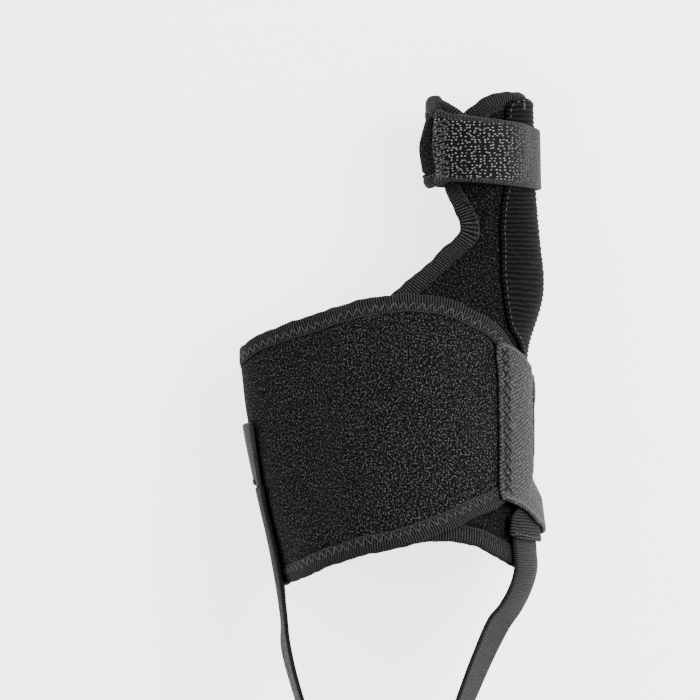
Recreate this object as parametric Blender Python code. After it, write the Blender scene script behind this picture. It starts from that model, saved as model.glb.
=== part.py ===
"""Soft toe-straightening brace, left side, as cut and sewn: panel with cuff, band, tapes, hook tabs, heel strap.

Units are metres. +X is the inner side, +Y points to the cuff, +Z is up. The origin is the middle of the band's hollow,
on the inside of its sole side. Every piece lies on one form surface, given by a turn in degrees round the hollow (0
inner side, 90 sole side, 180 outer side, 270 top) and a place along it, and stands off that form by its layer.
"""

import bpy
import numpy as np
from mathutils.geometry import delaunay_2d_cdt

# Sizes of the hollow
HALF_WIDTH = 0.050
BAND_LENGTH = 0.080
INSTEP_HEIGHT = 0.064
TOE_CENTRE = 0.0273
TOE_WIDTH = 0.0288
TOE_HEIGHT = 0.0245

# Sizes of the cloth
LAMINATE = 0.0025
TAPE = 0.00045
TAPE_WIDTH = 0.0058
WEBBING = 0.0013
POCKET = 0.0015
PATCH = 0.0009
CLEARANCE = 0.0003
LAYER_GAP = 0.0006
LIFT_MARGIN = 0.0040
LIFT_RAMP = 0.0140
SHORT_RAMP = 0.0070

# Sizes of the straps
HEEL_STRAP_WIDTH = 0.025
HEEL_BACK = 0.114
HEEL_LEVEL = 0.040
HOOK_WIDTH = 0.022
STRAP_SLACK = 0.0005

# Spacing of the mesh
TURN_STEP = 7.5
BEND_STEP = 11.0
ALONG_STEP = 0.0076
EDGE_STEP = 0.0070
STRAP_COLUMNS = 7

# Sections of the band's hollow: place along / BAND_LENGTH, outer and inner side / HALF_WIDTH, height / INSTEP_HEIGHT,
# how far the crest leans inward, level of the widest line / height, squareness of the underside
FOOT = (
    (-0.90, -0.590, 0.720, 1.19, 0.04, 0.34, 3.0),
    (-0.62, -0.632, 0.856, 1.06, 0.08, 0.34, 3.2),
    (-0.48, -0.675, 0.856, 0.99, 0.12, 0.34, 3.2),
    (-0.28, -0.752, 0.820, 0.89, 0.16, 0.34, 3.2),
    (-0.04, -0.826, 0.800, 0.78, 0.20, 0.34, 3.2),
    (0.14, -0.876, 0.784, 0.71, 0.24, 0.34, 3.2),
    (0.33, -0.916, 0.796, 0.64, 0.28, 0.36, 3.2),
    (0.56, -0.890, 0.892, 0.57, 0.28, 0.38, 3.1),
    (0.76, -0.200, 0.868, 0.47, 0.16, 0.42, 2.8),
)
# Sections of the cuff's hollow: place along / BAND_LENGTH, shift of its middle and width / TOE_WIDTH,
# height / TOE_HEIGHT,
# then as above
TOE = (
    (0.96, 0.022, 0.980, 1.06, 0.06, 0.46, 2.5),
    (1.15, 0.018, 0.965, 1.00, 0.04, 0.48, 2.4),
    (1.45, 0.000, 0.930, 0.94, 0.02, 0.48, 2.4),
)

# Edge of the panel from its back corner on the inner side, over the top and up to the cuff:
# across / HALF_WIDTH, place along / BAND_LENGTH
PANEL_TOP_EDGE = (
    (0.76, -0.547),
    (0.68, -0.518),
    (0.56, -0.480),
    (0.42, -0.456),
    (0.26, -0.452),
    (0.10, -0.455),
    (-0.02, -0.420),
    (-0.10, -0.330),
    (-0.15, -0.160),
    (-0.16, 0.060),
    (-0.15, 0.270),
    (-0.10, 0.408),
    (0.00, 0.526),
    (0.12, 0.592),
    (0.24, 0.660),
    (0.35, 0.728),
)
# Edge of the cuff's under flap, from its back to its front: across from the cuff's middle / TOE_WIDTH,
# place along / BAND_LENGTH
UNDER_FLAP_EDGE = (
    (-0.165, 0.795),
    (-0.205, 0.860),
    (-0.300, 0.950),
    (-0.350, 1.040),
    (-0.330, 1.130),
    (-0.240, 1.215),
    (-0.110, 1.275),
    (0.060, 1.325),
    (0.250, 1.350),
    (0.400, 1.350),
)
# Front edge of the cuff: turn in degrees, place along / BAND_LENGTH
CUFF_FRONT = (
    (-18.0, 1.345),
    (15.0, 1.318),
    (50.0, 1.258),
    (90.0, 1.235),
    (130.0, 1.255),
    (160.0, 1.297),
)
# Edge of the cuff's over flap, from its front to its rounded back corner: across from its middle / TOE_WIDTH,
# place along / BAND_LENGTH
OVER_FLAP_EDGE = (
    (-0.450, 1.332),
    (-0.360, 1.334),
    (-0.240, 1.308),
    (-0.110, 1.270),
    (0.050, 1.235),
    (0.170, 1.185),
    (0.205, 1.120),
    (0.150, 1.060),
    (0.030, 1.025),
    (-0.120, 0.994),
    (-0.260, 0.962),
    (-0.390, 0.945),
    (-0.480, 0.952),
)
# Back edge of the cuff underneath, then the panel's edge on the sole side: turn in degrees, place / BAND_LENGTH
PANEL_SOLE_EDGE = (
    (165.0, 0.965),
    (130.0, 0.965),
    (98.0, 0.955),
    (78.0, 0.900),
    (68.0, 0.800),
    (60.0, 0.650),
    (56.0, 0.480),
    (55.0, 0.300),
    (55.0, 0.120),
    (55.0, -0.060),
    (53.0, -0.240),
    (48.0, -0.400),
    (36.0, -0.500),
    (18.0, -0.536),
    (0.0, -0.546),
    (-18.0, -0.552),
)

# Front edge of the band on the sole side, then over the top: turn in degrees or across / HALF_WIDTH,
# place / BAND_LENGTH
BAND_FRONT_SOLE = (
    (62.0, 0.300),
    (90.0, 0.290),
    (120.0, 0.290),
    (145.0, 0.300),
    (165.0, 0.318),
)
BAND_FRONT_TOP = (
    (-0.900, 0.348),
    (-0.800, 0.390),
    (-0.640, 0.430),
    (-0.440, 0.467),
    (-0.220, 0.501),
    (0.000, 0.523),
    (0.180, 0.526),
    (0.360, 0.512),
    (0.530, 0.470),
    (0.645, 0.420),
)
# End of the band below the hook tab, from its front corner to its back one, as the rows above
BAND_END = (
    (0.705, 0.340),
    (0.735, 0.230),
    (0.740, 0.080),
    (0.745, -0.080),
    (0.738, -0.190),
    (0.705, -0.272),
)
BAND_BACK_TOP = (
    (0.640, -0.318),
    (0.530, -0.362),
    (0.380, -0.418),
    (0.220, -0.458),
    (0.060, -0.492),
    (-0.130, -0.512),
    (-0.290, -0.533),
    (-0.450, -0.568),
    (-0.560, -0.600),
)
BAND_BACK_SOLE = (
    (180.0, -0.615),
    (160.0, -0.580),
    (140.0, -0.530),
    (118.0, -0.485),
    (90.0, -0.450),
    (62.0, -0.435),
)
# Start of the band on the sole side, lapped below the panel
BAND_START = (
    (46.0, -0.380),
    (42.0, -0.240),
    (42.0, -0.080),
    (42.0, 0.080),
    (46.0, 0.240),
)

# Hook tab on the band's end: its edge over the top as across / HALF_WIDTH, place / BAND_LENGTH
TAB_SEAM = (
    (0.606, 0.340),
    (0.606, 0.200),
    (0.608, 0.050),
    (0.608, -0.100),
    (0.606, -0.275),
)
# Front and back edge of the hook tab round the inner side: turn in degrees, place / BAND_LENGTH
TAB_BACK = (
    (-39.5, -0.309),
    (-27.0, -0.341),
    (-15.0, -0.385),
    (2.0, -0.408),
    (20.0, -0.425),
    (40.0, -0.435),
    (66.0, -0.430),
)
TAB_TIP = (
    (80.0, -0.360),
    (85.0, -0.200),
    (85.0, 0.000),
    (78.0, 0.130),
)
TAB_FRONT = (
    (60.0, 0.150),
    (40.0, 0.170),
    (20.0, 0.195),
    (2.0, 0.224),
    (-12.0, 0.258),
    (-22.0, 0.305),
    (-33.5, 0.345),
)

# Ribbed pocket over the panel's inner side: turn in degrees, place / BAND_LENGTH
POCKET_EDGE = (
    (-19.0, 0.352),
    (-30.0, 0.415),
    (-37.0, 0.505),
    (-42.5, 0.605),
    (-46.5, 0.700),
    (-53.0, 0.800),
    (-60.0, 0.930),
    (-58.0, 1.020),
    (-55.5, 1.120),
    (-57.0, 1.220),
    (-54.0, 1.300),
    (-36.0, 1.326),
    (-16.0, 1.322),
    (10.0, 1.300),
    (28.0, 1.245),
    (31.0, 1.160),
    (30.0, 1.080),
    (28.0, 0.940),
    (26.0, 0.800),
    (24.0, 0.680),
    (24.0, 0.560),
    (24.0, 0.440),
    (24.0, 0.300),
    (20.0, 0.200),
    (4.0, 0.215),
    (-10.0, 0.280),
)

# Hook strap round the cuff: turn in degrees, place / BAND_LENGTH, from its sewn end on the over flap, round the
# inner side to underneath
TOE_STRAP_FRONT = (
    (229.0, 1.256),
    (248.0, 1.260),
    (270.0, 1.249),
    (310.0, 1.226),
    (340.0, 1.208),
    (370.0, 1.195),
    (410.0, 1.190),
    (450.0, 1.190),
    (485.0, 1.190),
)
TOE_STRAP_BACK = (
    (485.0, 0.995),
    (450.0, 0.965),
    (410.0, 0.955),
    (370.0, 0.955),
    (340.0, 0.960),
    (310.0, 0.968),
    (270.0, 0.974),
    (248.0, 0.967),
    (228.0, 0.962),
)

# Patch over the end of the heel strap on the inner side: turn in degrees, place / BAND_LENGTH
HEEL_PATCH = (
    (-25.0, -0.305),
    (-34.5, -0.352),
    (-38.0, -0.400),
    (-37.5, -0.442),
    (-18.0, -0.452),
    (2.0, -0.448),
    (4.5, -0.390),
    (4.0, -0.310),
    (-12.0, -0.276),
)
# Part of the heel strap below the patch: turn in degrees, place / BAND_LENGTH
STRAP_BELOW_PATCH = (
    (-40.0, -0.350),
    (-40.0, -0.480),
    (-40.0, -0.620),
    (-19.0, -0.640),
    (2.0, -0.620),
    (2.0, -0.480),
    (2.0, -0.350),
    (-19.0, -0.345),
)

# Middle line of the heel strap, from the inner side round the back to the outer side: turn in degrees and place /
# BAND_LENGTH where it lies on the form, and how far it has left the form for the free line below, from 0 to 1
STRAP_ON_FORM = (
    (-19.0, -0.350, 0.0),
    (-19.0, -0.430, 0.0),
    (-19.0, -0.500, 0.0),
    (-19.0, -0.560, 0.0),
    (-19.0, -0.600, 0.20),
    (-19.0, -0.625, 0.55),
    (-19.0, -0.740, 1.0),
)
STRAP_OFF_FORM = (
    (179.0, -0.800, 1.0),
    (179.0, -0.700, 0.2),
    (179.0, -0.620, 0.0),
    (179.0, -0.540, 0.0),
    (179.0, -0.460, 0.0),
    (179.0, -0.380, 0.0),
    (179.0, -0.300, 0.0),
    (179.0, -0.215, 0.0),
)
# Free line: across / HALF_WIDTH, back / HEEL_BACK, level / HEEL_LEVEL, lean of the upper edge towards the middle
STRAP_FREE = (
    (0.678, -0.545, 0.95, 16.0),
    (0.572, -0.645, 0.97, 14.0),
    (0.475, -0.750, 1.00, 12.0),
    (0.380, -0.855, 1.02, 9.0),
    (0.260, -0.945, 1.03, 5.0),
    (0.060, -0.995, 1.02, 2.0),
    (-0.160, -0.990, 0.98, 2.0),
    (-0.360, -0.925, 0.90, 3.0),
    (-0.510, -0.820, 0.81, 4.0),
    (-0.600, -0.705, 0.71, 4.5),
    (-0.656, -0.600, 0.63, 5.0),
)
# Hook end of the heel strap on the outer side: turn in degrees, place / BAND_LENGTH
STRAP_HOOK = (
    (179.0, 0.035),
    (179.0, -0.030),
    (179.0, -0.090),
    (179.0, -0.150),
    (179.0, -0.2105),
)

# sRGB colour 0-255 and roughness of each material
CLOTHS = {
    "black_laminate": (34, 34, 36, 0.92),
    "black_tape": (44, 44, 46, 0.80),
    "black_rib_elastic": (36, 36, 38, 0.78),
    "grey_hook": (74, 76, 78, 0.70),
    "black_webbing": (40, 40, 42, 0.72),
}


def smooth_rows(rows, at):
    """The rows' columns at each place, joined by cubic curves through the rows."""
    rows = np.array(rows, float)
    place = rows[:, 0]
    slope = np.gradient(rows, place, axis=0)
    at = np.clip(at, place[0], place[-1])
    index = np.clip(np.searchsorted(place, at, side="right") - 1, 0, len(place) - 2)
    step = (place[index + 1] - place[index])[..., None]
    part = (at[..., None] - place[index][..., None]) / step
    first, last = rows[index], rows[index + 1]
    first_slope, last_slope = slope[index] * step, slope[index + 1] * step
    return (
        first * (2 * part**3 - 3 * part**2 + 1)
        + first_slope * (part**3 - 2 * part**2 + part)
        + last * (3 * part**2 - 2 * part**3)
        + last_slope * (part**3 - part**2)
    )


def form_rows():
    """Sections of the form in metres: place, middle, half width, height, lean, widest level, squareness."""
    rows = []
    for along, outer, inner, height, lean, level, square in FOOT:
        middle = (inner + outer) / 2 * HALF_WIDTH
        half = (inner - outer) / 2 * HALF_WIDTH
        rows.append((along * BAND_LENGTH, middle, half, height * INSTEP_HEIGHT, lean, level, square))
    for along, shift, width, height, lean, level, square in TOE:
        middle = TOE_CENTRE + shift * TOE_WIDTH
        rows.append((along * BAND_LENGTH, middle, width * TOE_WIDTH / 2, height * TOE_HEIGHT, lean, level, square))
    return np.array(rows)


SECTIONS = form_rows()


def form(turn, along):
    """Points of the form: an ellipse with a leaning crest above the widest line, a squarer one below it."""
    _, middle, half, height, lean, level, square = np.moveaxis(smooth_rows(SECTIONS, along), -1, 0)
    angle = -np.radians(turn)
    across, up = np.cos(angle), np.sin(angle)
    widest = height * level
    swell = (np.abs(across) ** square + np.abs(up) ** square) ** (-1 / square)
    upper = up > 0
    x = middle + half * across * np.where(upper, 1, swell)
    z = np.where(upper, widest + (height - widest) * up * (1 + lean * across), widest * (1 + up * swell))
    return np.stack([x, along + 0 * x, z], -1)


def slopes(turn, along):
    """How the form's points move per degree of turn and per metre along."""
    small_turn, small_along = 1.5, 0.0008
    by_turn = (form(turn + small_turn, along) - form(turn - small_turn, along)) / (2 * small_turn)
    by_along = (form(turn, along + small_along) - form(turn, along - small_along)) / (2 * small_along)
    return by_turn, by_along


def unit(vectors):
    return vectors / np.maximum(np.linalg.norm(vectors, axis=-1, keepdims=True), 1e-12)


def on_form(flat, height):
    """Points that stand the height off the form at the flat places (turn, along)."""
    turn, along = flat[..., 0], flat[..., 1]
    by_turn, by_along = slopes(turn, along)
    out = unit(np.cross(by_turn, by_along))
    return form(turn, along) + out * np.asarray(height)[..., None]


def turns_of(rows, lap=0.0, centre=0.0, unit_size=HALF_WIDTH):
    """Flat places of rows given across the top of the form; lap 360 is the second time round."""
    places = []
    for across, along in rows:
        along = along * BAND_LENGTH
        _, middle, half, _, _, _, _ = smooth_rows(SECTIONS, np.array(along))
        share = np.clip((centre + across * unit_size - middle) / half, -0.995, 0.995)
        places.append((lap - np.degrees(np.arccos(share)), along))
    return places


def toe_turns(rows, lap=0.0):
    return turns_of(rows, lap, TOE_CENTRE, TOE_WIDTH)


def at_turns(rows, lap=0.0):
    return [(turn + lap, along * BAND_LENGTH) for turn, along in rows]


def flat_loop(places, step=EDGE_STEP):
    """A closed smooth line through the places, with points about a step or BEND_STEP apart."""
    places = np.array(places)
    count = len(places)
    dense = []
    for k in range(count):
        before, first, last, after = (places[(k + j) % count] for j in (-1, 0, 1, 2))
        for part in np.linspace(0, 1, 12, endpoint=False):
            dense.append(
                0.5
                * (
                    2 * first
                    + (last - before) * part
                    + (2 * before - 5 * first + 4 * last - after) * part**2
                    + (3 * first - before - 3 * last + after) * part**3
                )
            )
    dense = np.array(dense + [dense[0]])
    length = np.linalg.norm(np.diff(form(dense[:, 0], dense[:, 1]), axis=0), axis=1)
    bend = np.abs(np.diff(dense[:, 0])) * step / BEND_STEP
    run = np.concatenate([[0], np.cumsum(np.hypot(length, bend))])
    number = max(12, int(round(run[-1] / step)))
    at = np.linspace(0, run[-1], number, endpoint=False)
    return np.stack([np.interp(at, run, dense[:, 0]), np.interp(at, run, dense[:, 1])], 1)


def area_sign(loop):
    x, y = loop[:, 0], loop[:, 1]
    return np.sign((x * np.roll(y, -1) - np.roll(x, -1) * y).sum())


def inward(loop, distance):
    """The loop moved inward by a distance measured on the form."""
    by_turn, by_along = slopes(loop[:, 0], loop[:, 1])
    run = np.roll(loop, -1, 0) - np.roll(loop, 1, 0)
    tangent = unit(by_turn * run[:, :1] + by_along * run[:, 1:])
    out = unit(np.cross(by_turn, by_along))
    side = np.cross(out, tangent) * -area_sign(loop)
    turn_turn = (by_turn * by_turn).sum(1)
    turn_along = (by_turn * by_along).sum(1)
    along_along = (by_along * by_along).sum(1)
    on_turn, on_along = (side * by_turn).sum(1), (side * by_along).sum(1)
    both = turn_turn * along_along - turn_along**2
    move = np.stack(
        [
            (on_turn * along_along - on_along * turn_along) / both,
            (on_along * turn_turn - on_turn * turn_along) / both,
        ],
        1,
    )
    test = loop + move * 1e-4
    if abs(area(test)) > abs(area(loop)):
        move = -move
    return loop + move * distance


def area(loop):
    x, y = loop[:, 0], loop[:, 1]
    return (x * np.roll(y, -1) - np.roll(x, -1) * y).sum() / 2


def spacing(loop, turn, along):
    """Distance from flat places to a loop's line, in metres on the form, and whether each is inside."""
    per_degree = np.linalg.norm(slopes(turn, along)[0], axis=-1)
    first = loop
    last = np.roll(loop, -1, 0)
    px, py = turn[:, None], along[:, None]
    scale = per_degree[:, None]
    ax, ay = (first[None, :, 0] - px) * scale, first[None, :, 1] - py
    bx, by = (last[None, :, 0] - px) * scale, last[None, :, 1] - py
    dx, dy = bx - ax, by - ay
    part = np.clip(-(ax * dx + ay * dy) / np.maximum(dx * dx + dy * dy, 1e-18), 0, 1)
    away = np.sqrt((ax + part * dx) ** 2 + (ay + part * dy) ** 2).min(1)
    crosses = (first[None, :, 1] > py) != (last[None, :, 1] > py)
    rise = np.where(np.abs(last[None, :, 1] - first[None, :, 1]) < 1e-12, 1e-12, last[None, :, 1] - first[None, :, 1])
    meets = first[None, :, 0] + (py - first[None, :, 1]) / rise * (last[None, :, 0] - first[None, :, 0])
    inside = (crosses & (px < meets)).sum(1) % 2 == 1
    return away, inside


def lift(loops, height, ramp=LIFT_RAMP):
    """A height that holds over each loop and its margin and falls smoothly to nothing past it."""

    def over(flat):
        turn, along = flat[..., 0].ravel(), flat[..., 1].ravel()
        most = np.zeros(len(turn))
        for loop in loops:
            away, inside = spacing(loop, turn, along)
            share = np.clip(1 - (away - LIFT_MARGIN) / ramp, 0, 1)
            share = np.where(inside, 1, share * share * (3 - 2 * share))
            most = np.maximum(most, share)
        return height * most.reshape(flat.shape[:-1])

    return over


def fill(loop):
    """Triangles that fill a flat loop, with a grid of points inside it."""
    width = np.linalg.norm(slopes(loop[:, 0], loop[:, 1])[0], axis=-1).mean() / 1.0
    turns = np.arange(np.ceil(loop[:, 0].min() / TURN_STEP) * TURN_STEP, loop[:, 0].max(), TURN_STEP)
    alongs = np.arange(np.ceil(loop[:, 1].min() / ALONG_STEP) * ALONG_STEP, loop[:, 1].max(), ALONG_STEP)
    grid = np.stack(np.meshgrid(turns, alongs, indexing="ij"), -1).reshape(-1, 2)
    if len(grid):
        away, inside = spacing(loop, grid[:, 0], grid[:, 1])
        grid = grid[inside & (away > 0.4 * EDGE_STEP)]
    flat = np.concatenate([loop, grid])
    scaled = flat * (width, 1.0) * 100
    count = len(loop)
    edges = [(k, (k + 1) % count) for k in range(count)]
    _, _, faces, sources, _, _ = delaunay_2d_cdt([tuple(p) for p in scaled], edges, [], 1, 1e-7)
    back = [source[0] for source in sources]
    faces = [[back[k] for k in face] for face in faces]
    turned = []
    for a, b, c in faces:
        cross = np.cross(flat[b] - flat[a], flat[c] - flat[a])
        turned.append((a, b, c) if cross > 0 else (a, c, b))
    return flat, turned


def band_faces(first, second, count, towards_edge=True):
    """Triangles between two closed rings of points, split the same way on every layer of a sheet's edge."""
    faces = []
    for k in range(count):
        a, b = first + k, first + (k + 1) % count
        c, d = second + (k + 1) % count, second + k
        faces += [(a, b, d), (b, c, d)] if towards_edge else [(a, b, c), (a, c, d)]
    return faces


def counter(loop):
    return loop if area(loop) > 0 else loop[::-1]


def plain_sheet(loop, base, thick):
    """Points and faces of a sheet of even thickness inside a flat loop, standing on base."""
    loop = counter(loop)
    flat, faces = fill(loop)
    low = base(flat)
    points = np.concatenate([on_form(flat, low + thick), on_form(flat, low)])
    count, number = len(loop), len(flat)
    body = [tuple(face) for face in faces]
    body += [tuple(number + k for k in face[::-1]) for face in faces]
    body += [face[::-1] for face in band_faces(0, number, count)]
    return points, body


def between(edge_low, step_low, distance):
    """The height of a sheet's inner face at a distance from its edge, within the width of the binding."""
    share = distance / (TAPE_WIDTH + CLEARANCE)
    return edge_low * (1 - share) + step_low * share


def bound_sheet(loop, base, thick):
    """As plain_sheet, with the edge thinned on both faces where the binding tape folds round it."""
    loop = counter(loop)
    step_line = inward(loop, TAPE_WIDTH + CLEARANCE)
    rim = inward(loop, TAPE + CLEARANCE)
    flat, faces = fill(step_line)
    count, number = len(loop), len(flat)
    low = base(flat)
    thin = TAPE + CLEARANCE
    step_low = base(step_line)
    low[:count] = step_low
    rim_low = between(base(loop), step_low, thin)
    rings = (
        on_form(step_line, step_low + thick - thin),
        on_form(rim, rim_low + thick - thin),
        on_form(rim, rim_low + thin),
        on_form(step_line, step_low + thin),
    )
    points = np.concatenate([on_form(flat, low + thick), on_form(flat, low), *rings])
    body = [tuple(face) for face in faces]
    body += [tuple(number + k for k in face[::-1]) for face in faces]
    starts = [0] + [2 * number + k * count for k in range(4)] + [number]
    for first, second, outward in zip(starts[:-1], starts[1:], (True, True, True, False, False)):
        body += [face[::-1] for face in band_faces(first, second, count, outward)]
    return points, body


def binding(loop, base, thick):
    """The tape folded round a sheet's edge: a U-shaped section carried along the loop."""
    loop = counter(loop)
    section = (
        (TAPE_WIDTH, thick),
        (0.0, thick),
        (0.0, 0.0),
        (TAPE_WIDTH, 0.0),
        (TAPE_WIDTH, TAPE),
        (TAPE, TAPE),
        (TAPE, thick - TAPE),
        (TAPE_WIDTH, thick - TAPE),
    )
    count = len(loop)
    edge_low, step_low = base(loop), base(inward(loop, TAPE_WIDTH + CLEARANCE))
    rings = []
    for distance, height in section:
        ring = inward(loop, distance) if distance > 0 else loop
        rings.append(on_form(ring, between(edge_low, step_low, distance) + height))
    points = np.concatenate(rings)
    body = []
    for k in range(len(section)):
        nearer = section[(k + 1) % len(section)][0] <= section[k][0]
        body += [face[::-1] for face in band_faces(k * count, (k + 1) % len(section) * count, count, nearer)]
    return points, body


def lying(turn, along, width, base):
    """A row of points across a strap that lies on the form, from its lower edge to its upper one."""
    around = turn + np.linspace(-90.0, 90.0, 121)
    flat = np.stack([around, np.full(len(around), along * BAND_LENGTH)], 1)
    points = on_form(flat, base(flat))
    run = np.concatenate([[0], np.cumsum(np.linalg.norm(np.diff(points, axis=0), axis=1))])
    share = np.linspace(-0.5, 0.5, STRAP_COLUMNS) * (1 if turn > 90 else -1)
    turns = np.interp(run[60] + share * width, run, around)
    flat = np.stack([turns, np.full(STRAP_COLUMNS, along * BAND_LENGTH)], 1)
    return on_form(flat, base(flat))


def heel_strap_rows(inner_base, outer_base):
    """Points of the heel strap's inner face, one row per station from the inner side round the back."""
    share = np.linspace(-0.5, 0.5, STRAP_COLUMNS)
    line = np.array(STRAP_FREE) * (HALF_WIDTH, HEEL_BACK, HEEL_LEVEL, 1.0)
    heading = unit(np.gradient(line[:, :3], axis=0))
    loose = []
    for (x, y, z, lean), ahead in zip(line, heading):
        away = unit(np.cross((0.0, 0.0, 1.0), ahead))
        tilt = np.radians(lean)
        side = np.array([0.0, 0.0, np.cos(tilt)]) - away * np.sin(tilt)
        loose.append(np.array([x, y, z]) + side * (share * HEEL_STRAP_WIDTH)[:, None])
    rows = []
    for turn, along, left in STRAP_ON_FORM:
        rows.append((1 - left) * lying(turn, along, HEEL_STRAP_WIDTH, inner_base) + left * loose[0])
    rows += loose[1:-1]
    for turn, along, left in STRAP_OFF_FORM:
        rows.append((1 - left) * lying(turn, along, HEEL_STRAP_WIDTH, outer_base) + left * loose[-1])
    return smooth_stations(np.array(rows), 2)


def smooth_stations(stations, per_row):
    """More stations between the given ones, on a smooth line through them."""
    count = len(stations)
    ends = np.concatenate([[2 * stations[0] - stations[1]], stations, [2 * stations[-1] - stations[-2]]])
    rows = []
    for k in range(count - 1):
        before, first, last, after = ends[k : k + 4]
        for part in np.linspace(0, 1, per_row, endpoint=False):
            rows.append(
                0.5
                * (
                    2 * first
                    + (last - before) * part
                    + (2 * before - 5 * first + 4 * last - after) * part**2
                    + (3 * first - before - 3 * last + after) * part**3
                )
            )
    return np.array(rows + [stations[-1]])


def grid_solid(inner, thick, flip=False):
    """A closed sheet of even thickness outside a grid of points."""
    down, across = np.gradient(inner, axis=0), np.gradient(inner, axis=1)
    out = unit(np.cross(down, across)) * (-1 if flip else 1)
    rows, columns = inner.shape[:2]
    points = np.concatenate([(inner + out * thick).reshape(-1, 3), inner.reshape(-1, 3)])
    number = rows * columns

    def at(row, column, layer):
        return layer * number + row * columns + column

    body = []
    for row in range(rows - 1):
        for column in range(columns - 1):
            quad = (at(row, column, 0), at(row + 1, column, 0), at(row + 1, column + 1, 0), at(row, column + 1, 0))
            body.append(quad)
            body.append(tuple(k + number for k in quad[::-1]))
    rim = [(row, 0) for row in range(rows)] + [(rows - 1, column) for column in range(1, columns)]
    rim += [(row, columns - 1) for row in range(rows - 2, -1, -1)] + [(0, column) for column in range(columns - 2, 0, -1)]
    for (r1, c1), (r2, c2) in zip(rim, rim[1:] + rim[:1]):
        body.append((at(r2, c2, 0), at(r1, c1, 0), at(r1, c1, 1), at(r2, c2, 1)))
    return points, body


def cloth_material(name):
    red, green, blue, rough = CLOTHS[name]
    material = bpy.data.materials.new(name)
    material.use_nodes = True
    shader = material.node_tree.nodes["Principled BSDF"]
    linear = [(c / 255 / 12.92) if c / 255 <= 0.04045 else ((c / 255 + 0.055) / 1.055) ** 2.4 for c in (red, green, blue)]
    shader.inputs["Base Color"].default_value = (*linear, 1.0)
    shader.inputs["Roughness"].default_value = rough
    shader.inputs["Metallic"].default_value = 0.0
    material.diffuse_color = (*linear, 1.0)
    return material


def add(name, points, faces, cloth):
    """A named object with its faces turned outward."""
    mesh = bpy.data.meshes.new(name)
    mesh.from_pydata([tuple(p) for p in points], [], [tuple(int(k) for k in face) for face in faces])
    mesh.validate()
    item = bpy.data.objects.new(name, mesh)
    bpy.context.scene.collection.objects.link(item)
    mesh.materials.append(bpy.data.materials.get(cloth) or cloth_material(cloth))
    body = mesh.vertices
    total = 0.0
    for polygon in mesh.polygons:
        corners = [np.array(body[k].co) for k in polygon.vertices]
        for k in range(1, len(corners) - 1):
            total += np.dot(corners[0], np.cross(corners[k], corners[k + 1]))
    if total < 0:
        mesh.flip_normals()
    return item


def main():
    for item in list(bpy.data.objects):
        bpy.data.objects.remove(item)

    layer = LAMINATE + LAYER_GAP
    panel_loop = flat_loop(
        turns_of(PANEL_TOP_EDGE)
        + toe_turns(UNDER_FLAP_EDGE)
        + at_turns(CUFF_FRONT)
        + toe_turns(OVER_FLAP_EDGE, 360.0)
        + at_turns(PANEL_SOLE_EDGE)
    )
    band_loop = flat_loop(
        at_turns(BAND_FRONT_SOLE)
        + turns_of(BAND_FRONT_TOP, 360.0)
        + turns_of(BAND_END, 360.0)
        + turns_of(BAND_BACK_TOP, 360.0)
        + at_turns(BAND_BACK_SOLE)
        + at_turns(BAND_START)
    )
    round_again = np.array([360.0, 0.0])

    under_flap = lift([panel_loop + round_again], layer, SHORT_RAMP)
    over_panel = lift([panel_loop, panel_loop + round_again], layer)

    pocket_loop = flat_loop(at_turns(POCKET_EDGE))
    over_pocket = lift([pocket_loop + round_again], POCKET + LAYER_GAP)
    lapped_flap = lift([panel_loop], layer)
    under_start = lift([band_loop + round_again], layer, SHORT_RAMP)
    at_band_end = lift([band_loop], layer, SHORT_RAMP)
    strap_loop = flat_loop(at_turns(STRAP_BELOW_PATCH))
    over_strap = lift([strap_loop, strap_loop + round_again], WEBBING + LAYER_GAP, SHORT_RAMP)
    patch_loop = flat_loop(at_turns(HEEL_PATCH))
    over_patch = lift([patch_loop + round_again], PATCH + LAYER_GAP, SHORT_RAMP)

    def one_layer(flat):
        return layer + 0 * flat[..., 0]

    def slack_layer(flat):
        return layer + STRAP_SLACK + 0 * flat[..., 0]

    def panel_base(flat):
        return under_flap(flat)

    def band_base(flat):
        return over_panel(flat)

    def toe_strap_base(flat):
        return over_panel(flat - round_again) + np.maximum(lapped_flap(flat), over_pocket(flat))

    def patch_base(flat):
        return over_panel(flat) + over_strap(flat)

    def tab_base(flat):
        below = np.maximum(at_band_end(flat), over_pocket(flat))
        below = np.maximum(below, over_strap(flat) + over_patch(flat))
        return over_panel(flat) + below + under_start(flat)

    add("toe_panel", *bound_sheet(panel_loop, panel_base, LAMINATE), "black_laminate")
    add("panel_binding", *binding(panel_loop, panel_base, LAMINATE), "black_tape")
    add("foot_wrap", *bound_sheet(band_loop, band_base, LAMINATE), "black_laminate")
    add("wrap_binding", *binding(band_loop, band_base, LAMINATE), "black_tape")
    add("splint_pocket", *plain_sheet(pocket_loop, over_panel, POCKET), "black_rib_elastic")
    toe_strap_loop = flat_loop(at_turns(TOE_STRAP_FRONT + TOE_STRAP_BACK))
    add("toe_strap", *plain_sheet(toe_strap_loop, toe_strap_base, WEBBING), "grey_hook")
    tab_loop = flat_loop(
        turns_of(TAB_SEAM, 360.0)
        + at_turns(TAB_BACK, 360.0)
        + at_turns(TAB_TIP, 360.0)
        + at_turns(TAB_FRONT, 360.0)
    )
    add("wrap_tab", *plain_sheet(tab_loop, tab_base, WEBBING), "grey_hook")
    add("strap_patch", *plain_sheet(patch_loop, patch_base, PATCH), "black_webbing")
    strap = heel_strap_rows(one_layer, slack_layer)
    add("heel_strap", *grid_solid(strap, WEBBING, flip=True), "black_webbing")
    hook = np.array([lying(turn, along, HOOK_WIDTH, slack_layer) for turn, along in STRAP_HOOK])
    add("strap_hook", *grid_solid(smooth_stations(hook, 2), WEBBING), "grey_hook")


main()
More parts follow.
